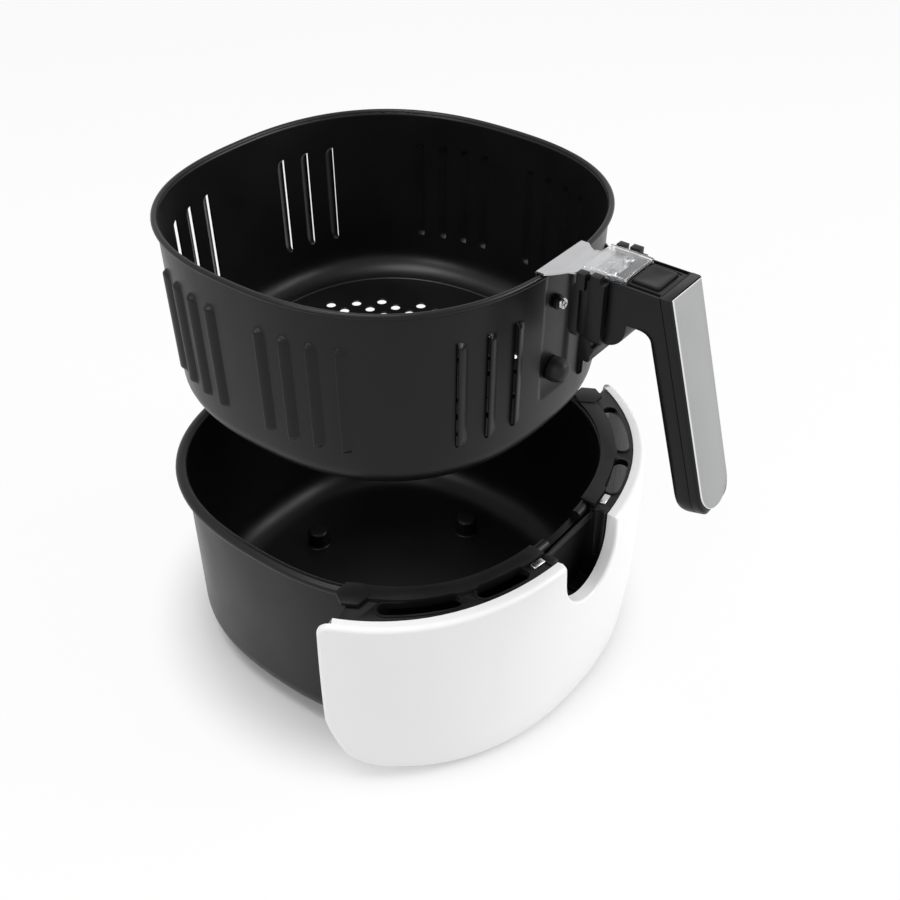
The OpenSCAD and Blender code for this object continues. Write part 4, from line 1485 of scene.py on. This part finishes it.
@dataclass
class Handle:
    """The hanging handle: strap, block, arm, grip and plate.

    In a side view a point is its distance to the front and its height above the rim.
    """

    rim_z: float = RIM_Z
    grip_half: float = 13.2
    reach: float = 157.7
    grip_t: float = 14.0
    lean: float = 16.25
    grip_l: float = 105.0
    nose_r: float = 6.0
    heel_r: float = 7.6
    tip_half: float = 1.8
    back_r: float = 5.0
    face_r: float = 1.6
    arm_top: float = 6.4
    split: float = 4.6
    seam: float = 0.15
    seam_r: float = 0.25
    shell_edge: float = 0.4
    shell_stations: tuple[float, ...] = (
        -12.0, 10.0, 40.0, 70.0, 90.0, 92.0, 94.0, 96.0, 98.0, 99.5, 100.8, 101.9, 102.8, 103.5, 104.1,
        104.5, 104.75,
    )
    plate_half: float = 11.6
    plate_over: float = 20.0
    plate_end: float = 102.0
    plate_in: float = 0.6
    plate_t: float = 1.1
    plate_edge: float = 0.45
    arm_low: float = -11.6
    cheek_y: float = 130.0
    cheek_r: float = 9.4
    cheek_low: float = -23.8
    crook_y: float = 142.36
    crook_r: float = 8.0
    top_edge: float = 0.3
    pocket_half: float = 9.7
    pocket_h: float = 13.0
    crook_top: tuple[float, ...] = (142.4, 144.5, 146.8, 149.0, 151.0, 151.05)
    crook_down: tuple[float, ...] = (1.577, 4.0, 8.0, 12.5, 17.0, 20.67)
    body_stations: tuple[float, ...] = (
        30.0, 50.0, 75.0, 90.0, 92.0, 94.0, 96.0, 97.4, 98.5, 99.6, 100.7, 101.8, 102.8, 103.6, 104.2,
        104.7, 105.0,
    )
    bezel_low: float = 3.6
    bezel_back: float = 130.5
    bezel_front: float = 152.85
    rail_in: float = 10.4
    rail_lip: float = 12.4
    rail_floor: float = 4.6
    opening: tuple[float, float, float] = (143.4, 8.1, 6.3)
    opening_edge: tuple[Point, ...] = (
        (1.55, 0.0), (1.35, 0.12), (1.3, 0.4), (0.45, 0.4), (0.3, 0.55), (0.3, 2.75),
    )
    strap_top: tuple[Point, ...] = (
        (95.0, -31), (95.0, -29.5), (95.0, -27), (95.0, -24), (95.0, -21), (95.0, -4.2), (96.5, -1.6),
        (96.5, 0.4), (97.5, 1.4), (101.5, 1.45), (104, 1.5), (107, 1.9), (110, 3.1), (112, 3.2), (113, 3.7),
        (115, 4.7), (122, 4.7), (130.2, 4.7),
    )
    strap_under: tuple[Point, ...] = (
        (96.2, -31), (96.2, -29.5), (96.2, -27), (96.2, -24), (96.2, -21), (96.2, -4.6), (97.7, -2),
        (97.7, -0.3), (98.2, 0.2), (101.3, 0.25), (103.8, 0.3), (106.6, 0.7), (109.6, 1.9), (112.3, 2.0),
        (113.6, 2.6), (115.4, 3.5), (122, 3.5), (130.2, 3.5),
    )
    strap_halves: tuple[float, ...] = (
        2.0, 5.8, 8.4, 9.7, 10, 10, 16.4, 17.2, 17.2, 17.2, 14.8, 12.4, 11.7, 11.2, 11.2, 11.2, 11.2, 11.2,
    )
    strap_edge: float = 0.22
    strap_screw: tuple[float, float, float] = (6.5, -127.2, 4.7)
    block_edge: float = 0.4

    def grip_place(self) -> Matrix:
        """Places the grip's own frame: +Y runs into the grip, -Z down along its face."""
        top = Matrix.Translation((0, -self.reach, self.arm_top + self.rim_z))
        return top @ Matrix.Rotation(math.radians(-self.lean), 4, "X")

    def _limits(self, down: float) -> tuple[float, float, float]:
        """How wide and how thick the grip is.

        Args:
            down: Distance down the grip.

        Returns:
            Half its width, and the distances in to its front and its back.
        """
        half, nose, heel = self.grip_half, self.nose_r, self.heel_r
        past_turn = max(0.0, down - self.grip_l + half)
        past_nose = max(0.0, down - self.grip_l + nose)
        past_heel = max(0.0, down - self.grip_l + heel)
        wide = max(self.tip_half, math.sqrt(max(0.0, half**2 - past_turn**2)))
        front = nose - math.sqrt(max(0.0, nose**2 - past_nose**2))
        return wide, front, self.grip_t - heel + math.sqrt(max(0.0, heel**2 - past_heel**2))

    def _outer_form(self) -> Form:
        """The outer half of the grip, from above the arm down to its end."""
        rings = []
        for down in self.shell_stations:
            half, front, back = self._limits(down)
            back = min(back, self.split - self.seam)
            near = min(self.face_r, (back - front) * 0.45, half * 0.8)
            far = min(self.seam_r, (back - front) * 0.5, half * 0.8)
            points = [
                *arc((half - near, front + near), near, 270, 360, 4),
                *arc((half - far, back - far), far, 0, 90, 8),
                *arc((far - half, back - far), far, 90, 180, 8),
                *arc((near - half, front + near), near, 180, 270, 4),
            ]
            rings.append([Vector((x, y, -down)) for x, y in points])
        form = Form()
        bmesh.ops.transform(form.bm, matrix=self.grip_place(), verts=form.loft(rings))
        return form

    def grip(self) -> None:
        """The grip's outer shell, and the plate on its face, whose edges get a lighter silver as a painted
        highlight line.
        """
        brim = Vector((0, 0, self.rim_z + self.arm_top))
        shell = self._outer_form()
        shell.slice_off(brim, UP)
        shell.soften(self.shell_edge, angle=50)
        shell.finish("grip_outer_shell", Body.BASKET, Slot.HANDLE, HANDLE_BLACK, ["handle_outer_shell"])
        half, over = self.plate_half, self.plate_over
        points = [(half, over), (-half, over), *arc((0, half - self.plate_end), half, 180, 360, 28)]
        place = self.grip_place() @ Matrix.Translation((0, self.plate_in, 0)) @ FACING_FRONT
        plate = Form()
        plate.prism(points, 0.0, self.plate_t, place, self.plate_edge)
        plate.slice_off(brim, UP)
        front = place.to_3x3() @ UP
        # Faces that don't face the front take the second material, the painted edge highlight.
        for face in plate.bm.faces:
            face.material_index = int(abs(face.normal.dot(front)) < 0.98)
        piece = plate.finish("silver_grip_plate", Body.BASKET, Slot.PLATE, PLATE_SILVER, ["grip_plate"])
        piece.data.materials.append(EDGE_HIGHLIGHT_SILVER.material())

    def _down_grip(self, into: float, down: float) -> Point:
        """A point of the grip's side view.

        Args:
            into: Distance in from the grip's face.
            down: Distance down the grip.

        Returns:
            The point in the handle's side view.
        """
        point = self.grip_place() @ Vector((0.0, into, -down))
        return -point.y, point.z - self.rim_z

    def _sections(self) -> list[Section]:
        """Sections of the body: along the arm, round its crook and down the grip."""
        half, top, low, depth = self.grip_half, self.bezel_low, self.arm_low, self.pocket_h
        start = self.cheek_y + 0.45
        found = [Section((start, self.cheek_low), (start, top), half, 0.6, depth)]
        for y, z in arc((self.cheek_y, self.cheek_low + self.cheek_r), self.cheek_r, 280, 360, 9):
            found.append(Section((y, z), (y, top), half, 0.6, depth))
        for y, corner in ((139.7, 0.8), (141.0, 1.0)):
            found.append(Section((y, low), (y, top), half, corner, depth))
        outer = [(y, top) for y in self.crook_top]
        outer += [self._down_grip(self.split, down) for down in self.crook_down]
        inner = arc((self.crook_y, low - self.crook_r), self.crook_r, 90, self.lean, len(outer) - 1)
        for k, (near, far) in enumerate(zip(inner, outer)):
            corner = mix(1.1, self.back_r, ease(k / 9))
            found.append(Section(near, far, half, corner, depth if k < 5 else 0.0))
        for down in self.body_stations:
            wide, _, back = self._limits(down)
            inner_point, outer_point = self._down_grip(back, down), self._down_grip(self.split, down)
            found.append(Section(inner_point, outer_point, wide, self.back_r))
        return found

    def body(self) -> None:
        """The arm and the inner half of the grip, with the pocket for the button and the latch's arm."""
        rings = []
        for cut in self._sections():
            near = Vector((0, -cut.inner[0], cut.inner[1] + self.rim_z))
            far = Vector((0, -cut.outer[0], cut.outer[1] + self.rim_z))
            length, half, edge = (far - near).length, cut.half, self.top_edge
            way = (far - near) / length
            corner, pocket = min(cut.corner, length * 0.5, half * 0.8), min(self.pocket_half, half - 1)
            right = [
                *arc((half - corner, corner), corner, 270, 360, 6),
                (half, length - edge),
                (half - edge * 0.3, length - edge * 0.3),
                (half - edge, length),
                (pocket, length),
                (pocket - 0.01, length - cut.pocket),
            ]
            flat = right + [(-x, along) for x, along in reversed(right)]
            rings.append([near + way * along + Vector((x, 0, 0)) for x, along in flat])
        form = Form()
        form.loft(rings)
        bmesh.ops.remove_doubles(form.bm, verts=form.bm.verts, dist=MERGE)
        form.finish("arm_and_grip_body", Body.BASKET, Slot.HANDLE, HANDLE_BLACK, ["handle_body"])

    def _frame_ring(self, half: float, near: float, far: float, corner: float, z: float) -> Ring:
        """A rounded rectangle round the button.

        Args:
            half: Half its width.
            near: Distance to its back.
            far: Distance to its front.
            corner: Radius of its corners.
            z: Height above the rim.

        Returns:
            The ring.
        """
        ring = []
        for x, y, start in ((half, near, 0), (-half, near, 90), (-half, far, 180), (half, far, 270)):
            middle = (x - math.copysign(corner, x), -y - (corner if start < 180 else -corner))
            points = arc(middle, corner, start, start + 90, 4)
            ring += [Vector((px, py, self.rim_z + z)) for px, py in points]
        return ring

    def bezel(self) -> None:
        """The frame round the button, with the guard's two rails beside it and a sloped front end."""
        back, front, low, top = self.bezel_back, self.bezel_front, self.bezel_low + 0.05, self.arm_top
        slope = math.tan(math.radians(self.lean))
        foot, inner, outer = front + (top - low) * slope, self.rail_in, self.grip_half
        rings = [self._frame_ring(inner, back, foot, 0.3, low)]
        for edge, down in ((0.0, 0.3), (0.1, 0.08), (0.3, 0.0)):
            rings.append(self._frame_ring(inner - edge, back + edge, front - edge, 0.3, top - down))
        y, half_x, half_y = self.opening
        for grow, down in self.opening_edge:
            near, far = y - half_y - grow, y + half_y + grow
            rings.append(self._frame_ring(half_x + grow, near, far, 1.5, top - down))
        form = Form()
        form.loft(rings, caps=False, closed=True)
        side_top = [(inner, low), (outer, low), (outer, top - 0.25), (outer - 0.25, top)]
        rail = [*side_top, (self.rail_lip, top), (self.rail_lip, self.rail_floor), (inner, self.rail_floor)]
        end = [*side_top, (inner, top)]
        stop = front - self.shell_edge
        for side in (-1, 1):
            for points, ends in ((rail, ((back, 0.0), (stop, 0.0))), (end, ((stop, 0.0), (front, slope)))):
                rings = []
                for ahead, lean in ends:
                    places = [(side * x, -ahead - lean * (top - z), self.rim_z + z) for x, z in points]
                    rings.append([Vector(place) for place in places])
                form.loft(rings)
        form.finish("button_frame", Body.BASKET, Slot.HANDLE, HANDLE_BLACK, ["button_bezel"])

    def strap(self) -> None:
        """The bright strap that wraps over the basket's rim and carries the block, and its two screws."""
        shares = (-1, -0.5, 0.5, 1)
        rings = []
        for top, under, half in zip(self.strap_top, self.strap_under, self.strap_halves):
            ring = [Vector((share * half, -top[0], top[1] + self.rim_z)) for share in shares]
            ring += [Vector((-share * half, -under[0], under[1] + self.rim_z)) for share in shares]
            rings.append(ring)
        form = Form()
        form.loft(rings)
        form.soften(self.strap_edge, angle=28)
        form.finish("bright_rim_strap", Body.BASKET, Slot.BRIGHT_STEEL, STEEL, ["rim_strap"])
        form = Form()
        x, y, z = self.strap_screw
        for side in (-1, 1):
            Screw(2.6, 1.7, 1.3, 6.0).add_to(form, Matrix.Translation((side * x, y, self.rim_z + z)))
        form.finish("strap_cross_screws", Body.BASKET, Slot.BRIGHT_STEEL, STEEL, ["strap_screws"])

    def build(self) -> None:
        """Builds the handle's fixed pieces."""
        self.strap()
        softened_node(
            "handle_block", "stepped_handle_block", Body.BASKET, Slot.HANDLE, HANDLE_BLACK, self.block_edge
        )
        self.body()
        self.bezel()
        self.grip()


@dataclass
class Latch:
    """The moving pieces of the handle: the guard, the button, the latch and their springs."""

    rim_z: float = RIM_Z
    guard_back: float = 116.1
    guard_l: float = 20.3
    guard_half: float = 12.1
    guard_low: float = 5.1
    guard_top: float = 8.9
    guard_t: float = 1.3
    guard_corner: float = 1.8
    guard_inner_r: float = 0.8
    guard_hem: float = 0.5
    guard_plan_r: float = 1.25
    guard_end_r: float = 0.5
    guard_roof: tuple[float, ...] = (7.0, 3.5, 0.0, -3.5, -7.0)
    guard_ends: tuple[float, ...] = (0.0, 0.12, 0.35, 0.8, 1.3, 1.9)
    dome_across: float = 0.4
    dome_along: float = 0.25
    button_y: float = 143.4
    button_l: float = 12.6
    button_w: float = 16.2
    button_top: float = 7.2
    button_corner: float = 1.4
    flange: tuple[Point, ...] = ((-1.0, 1.6), (-1.0, 3.2), (0.0, 3.2))
    button_edge: tuple[Point, ...] = ((0.0, 0.5), (0.15, 0.15), (0.5, 0.0), (0.9, 0.0))
    dish: float = 0.7
    dish_rings: tuple[float, ...] = (1.3, 2.0, 3.0, 4.0, 5.0, 5.8)
    stem: tuple[Point, ...] = ((-2.5, -1.6), (2.5, -1.6), (2.5, 1.6), (-2.5, 1.6))
    stem_y: float = -139.2
    coil_steps: int = 18
    spring_turns: int = 5
    spring_r: float = 2.2
    spring_low: float = -8.9
    spring_l: float = 10.0
    spring_y: float = -146.4
    spring_wire: float = 0.4
    torsion_turns: int = 3
    torsion_r: float = 2.6
    torsion_w: float = 2.4
    torsion_pin: tuple[float, float, float] = (4.7, -121.0, -12.0)
    torsion_leg: tuple[tuple[float, float, float], ...] = (
        (5.9, -121.2, -27.0), (5.9, -122.6, -27.0), (5.9, -123.5, -26.4), (5.9, -123.6, -20.0),
    )
    torsion_wire: float = 0.42
    lever_edge: float = 0.35

    def _guard_profile(self) -> list[Point]:
        """The guard's section: round the outside from the right foot, and back along the inside."""
        half, low, hem = self.guard_half, self.guard_low, self.guard_hem
        corner, r = self.guard_corner, self.guard_inner_r
        inner, roof = half - self.guard_t, self.guard_top - self.guard_t
        return [
            (inner, low),
            (half - hem, low),
            (half, low + hem),
            *arc((half - corner, self.guard_top - corner), corner, 0, 90, 6),
            *((x, self.guard_top) for x in self.guard_roof),
            *arc((corner - half, self.guard_top - corner), corner, 90, 180, 6),
            (-half, low + hem),
            (hem - half, low),
            (-inner, low),
            *arc((r - inner, roof - r), r, 180, 90, 3),
            *((x, roof) for x in reversed(self.guard_roof)),
            *arc((inner - r, roof - r), r, 90, 0, 3),
        ]

    def guard(self) -> None:
        """The clear guard: a slightly domed tray, upside down, with rounded corners."""
        profile, inner_top = self._guard_profile(), self.guard_top - self.guard_t - 0.9
        last = self.guard_ends[-1]
        stations = [*self.guard_ends, *(mix(last, self.guard_l - last, k / 6) for k in range(1, 6))]
        stations += [self.guard_l - end for end in reversed(self.guard_ends)]
        rings = []
        for along in stations:
            near = min(along, self.guard_l - along)
            reach = self.guard_half - rounding(near, self.guard_plan_r)
            ring = []
            for x, z in profile:
                bow = self.dome_across * (x / self.guard_half) ** 2
                bow += self.dome_along * (2 * along / self.guard_l - 1) ** 2
                if z > self.guard_top - 0.05:
                    bow += rounding(near, self.guard_end_r)
                elif z <= inner_top:
                    bow = 0.0
                across = math.copysign(min(abs(x), reach), x)
                ring.append(Vector((across, -self.guard_back - along, self.rim_z + z - bow)))
            rings.append(ring)
        form = Form()
        form.loft(rings)
        form.finish("clear_sliding_guard", Body.GUARD, Slot.CLEAR, CLEAR, ["sliding_guard"], smooth=45)

    def _button_ring(self, shrink: float, z: float) -> Ring:
        """A rounded rectangle of the button.

        Args:
            shrink: Distance in from the button's side.
            z: Height above the rim.

        Returns:
            The ring.
        """
        x, y = self.button_w / 2 - shrink, self.button_l / 2 - shrink
        r = min(self.button_corner, 0.8 * x, 0.8 * y)
        corners = ((x - r, y - r), (r - x, y - r), (r - x, r - y), (x - r, r - y))
        ring = []
        for k, corner in enumerate(corners):
            points = arc(corner, r, 90 * k, 90 * k + 90, 4)
            ring += [Vector((px, py - self.button_y, self.rim_z + z)) for px, py in points]
        return ring

    def button(self) -> None:
        """The release button with its shallow dish, its flange and its stem."""
        top, rim = self.button_top, self.button_edge[-1][0]
        rings = [self._button_ring(shrink, z) for shrink, z in self.flange]
        rings += [self._button_ring(shrink, top - down) for shrink, down in self.button_edge]
        dished = [self._button_ring(shrink, top) for shrink in self.dish_rings]
        for point in (point for ring in dished for point in ring):
            across = point.x / (self.button_w / 2 - rim)
            along = (point.y + self.button_y) / (self.button_l / 2 - rim)
            point.z -= self.dish * max(0.0, 1 - across**2) * max(0.0, 1 - along**2)
        form = Form()
        form.loft(rings + dished)
        form.prism(self.stem, -3.0, 2.4, Matrix.Translation((0, self.stem_y, self.rim_z)), 0.3)
        form.finish("dished_release_button", Body.BUTTON, Slot.HANDLE, HANDLE_BLACK, ["release_button"])

    def springs(self) -> None:
        """The compression spring under the button and the latch's torsion spring."""
        count = self.spring_turns * self.coil_steps
        base = Vector((0.0, self.spring_y, self.rim_z + self.spring_low))
        path = []
        for k in range(count + 1):
            path.append(base + polar(self.spring_r, 360 * k / self.coil_steps, self.spring_l * k / count))
        form = Form()
        form.tube(path, self.spring_wire)
        spring = form.finish("button_coil_spring", Body.BUTTON, Slot.BRIGHT_STEEL, STEEL, ["button_spring"])
        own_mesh(spring)
        count = self.torsion_turns * self.coil_steps
        x, y, z = self.torsion_pin
        path = [Vector(point) + self.rim_z * UP for point in self.torsion_leg]
        for k in range(count + 1):
            wound = polar(self.torsion_r, 360 * k / self.coil_steps)
            along = x + self.torsion_w * (1 - k / count)
            path.append(Vector((along, y - wound.x, self.rim_z + z + wound.y)))
        form = Form()
        form.tube(path, self.torsion_wire)
        form.finish("latch_torsion_spring", Body.LATCH, Slot.BRIGHT_STEEL, STEEL, ["latch_spring"])

    def build(self) -> None:
        """Builds the latch's pieces."""
        self.guard()
        self.button()
        self.springs()
        softened_node(
            "latch_lever", "latch_tab_lever", Body.LATCH, Slot.HANDLE, HANDLE_BLACK, self.lever_edge
        )


# ---------- hidden fasteners ----------


@dataclass
class Fasteners:
    """Construction nodes that keep their own mesh and get a finish."""

    nodes: tuple[str, ...] = ("bracket_screws", "cover_screws", "block_screws", "grip_screws", "latch_pin")

    def build(self) -> None:
        """Dresses each node."""
        for name in self.nodes:
            node = bpy.data.objects[name]
            node.data.materials.clear()
            node.data.materials.append(STEEL.material())
            LOG.info("%s: dressed", name)


# ---------- studio ----------


@dataclass(frozen=True)
class SoftBox:
    """A square soft box that faces the object."""

    name: str
    place: tuple[float, float, float]
    size: float
    power: float
    aim: tuple[float, float, float] = (0.0, 0.0, 0.12)

    def build(self) -> None:
        """Hangs the lamp."""
        data = bpy.data.lights.new(self.name, "AREA")
        data.shape = "SQUARE"
        data.size = self.size
        data.energy = self.power
        lamp = add_object(self.name, data)
        lamp.location = self.place
        heading = Vector(self.aim) - Vector(self.place)
        lamp.rotation_euler = heading.to_track_quat("-Z", "Y").to_euler()


@dataclass
class Studio:
    """Floor, lights, world and camera, in metres."""

    camera_at: tuple[float, float, float] = (-0.3725, -0.3296, 0.4942)
    azimuth: float = -52.0
    pitch: float = 38.0
    lens: float = 46.1
    dome: float = 0.4
    floor_half: float = 6.0
    floor_z: float = -0.0005
    floor_tone: float = 0.8
    floor_rough: float = 0.7
    shade_from: float = 0.11
    shade_to: float = 0.15
    shown_white: float = 0.9
    lamps: tuple[SoftBox, ...] = (
        SoftBox("key_box", (0.7, -1.0, 0.9), 0.7, 13.0),
        SoftBox("side_box", (-1.1, 0.1, 0.9), 0.5, 4.5),
        SoftBox("top_box", (-0.25, 0.15, 1.3), 0.5, 7.0),
    )

    def _floor_look(self) -> bpy.types.Material:
        """The floor's material: lit under the object, and shown white further out."""
        material = bpy.data.materials.new("pale_floor")
        material.use_nodes = True
        board = Board(material.node_tree)
        lit = board.give(
            material.node_tree.nodes["Principled BSDF"],
            {"Base Color": (*[self.floor_tone] * 3, 1), "Roughness": self.floor_rough},
        )
        shown = board.add("ShaderNodeEmission", {"Strength": 1.0})
        distance = board.add("ShaderNodeVectorMath", {0: board.object_place()}, "LENGTH")
        reach = board.add(
            "ShaderNodeMapRange",
            {
                "Value": distance.outputs["Value"],
                "From Min": self.shade_from,
                "From Max": self.shade_to,
                "To Max": self.shown_white,
            },
        )
        reach.interpolation_type = "SMOOTHSTEP"
        share = board.add("ShaderNodeMath", {0: board.seen(), 1: reach.outputs["Result"]}, "MULTIPLY")
        board.blend(share.outputs[0], lit.outputs["BSDF"], shown.outputs["Emission"])
        return material

    def floor(self) -> None:
        """A pale floor that shows white and keeps the shadow."""
        bm = bmesh.new()
        bmesh.ops.create_grid(bm, x_segments=2, y_segments=2, size=self.floor_half)
        mesh = bpy.data.meshes.new("studio_floor")
        bm.to_mesh(mesh)
        bm.free()
        mesh.materials.append(self._floor_look())
        floor = add_object("studio_floor", mesh)
        floor.location = (0, 0, self.floor_z)

    def world(self) -> None:
        """An even grey dome that shows white."""
        world = bpy.data.worlds.new("studio")
        bpy.context.scene.world = world
        world.use_nodes = True
        board, white = Board(world.node_tree), (1, 1, 1, 1)
        dome = board.give(world.node_tree.nodes["Background"], {"Color": white, "Strength": self.dome})
        shown = board.add("ShaderNodeBackground", {"Color": white, "Strength": 1.0})
        board.blend(board.seen(), dome.outputs["Background"], shown.outputs["Background"])

    def camera(self) -> None:
        """The camera, at the left of the front and looking down."""
        data = bpy.data.cameras.new("camera")
        data.lens = self.lens
        data.clip_start = 0.01
        camera = add_object("camera", data)
        camera.location = self.camera_at
        camera.rotation_euler = (math.radians(90 - self.pitch), 0, math.radians(self.azimuth))
        bpy.context.scene.camera = camera

    def build(self) -> None:
        """Sets the scene up."""
        bpy.context.scene.view_settings.view_transform = "Standard"
        self.floor()
        self.world()
        for lamp in self.lamps:
            lamp.build()
        self.camera()


def main() -> None:
    """Builds every piece and the studio."""
    logging.basicConfig(level=logging.INFO, format="%(name)s %(message)s")
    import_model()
    for part in (Pan(), FrontCover(), FrontFrame(), Basket(), Handle(), Latch(), Fasteners(), Studio()):
        LOG.info("building %s", type(part).__name__)
        part.build()


if __name__ == "__main__":
    main()
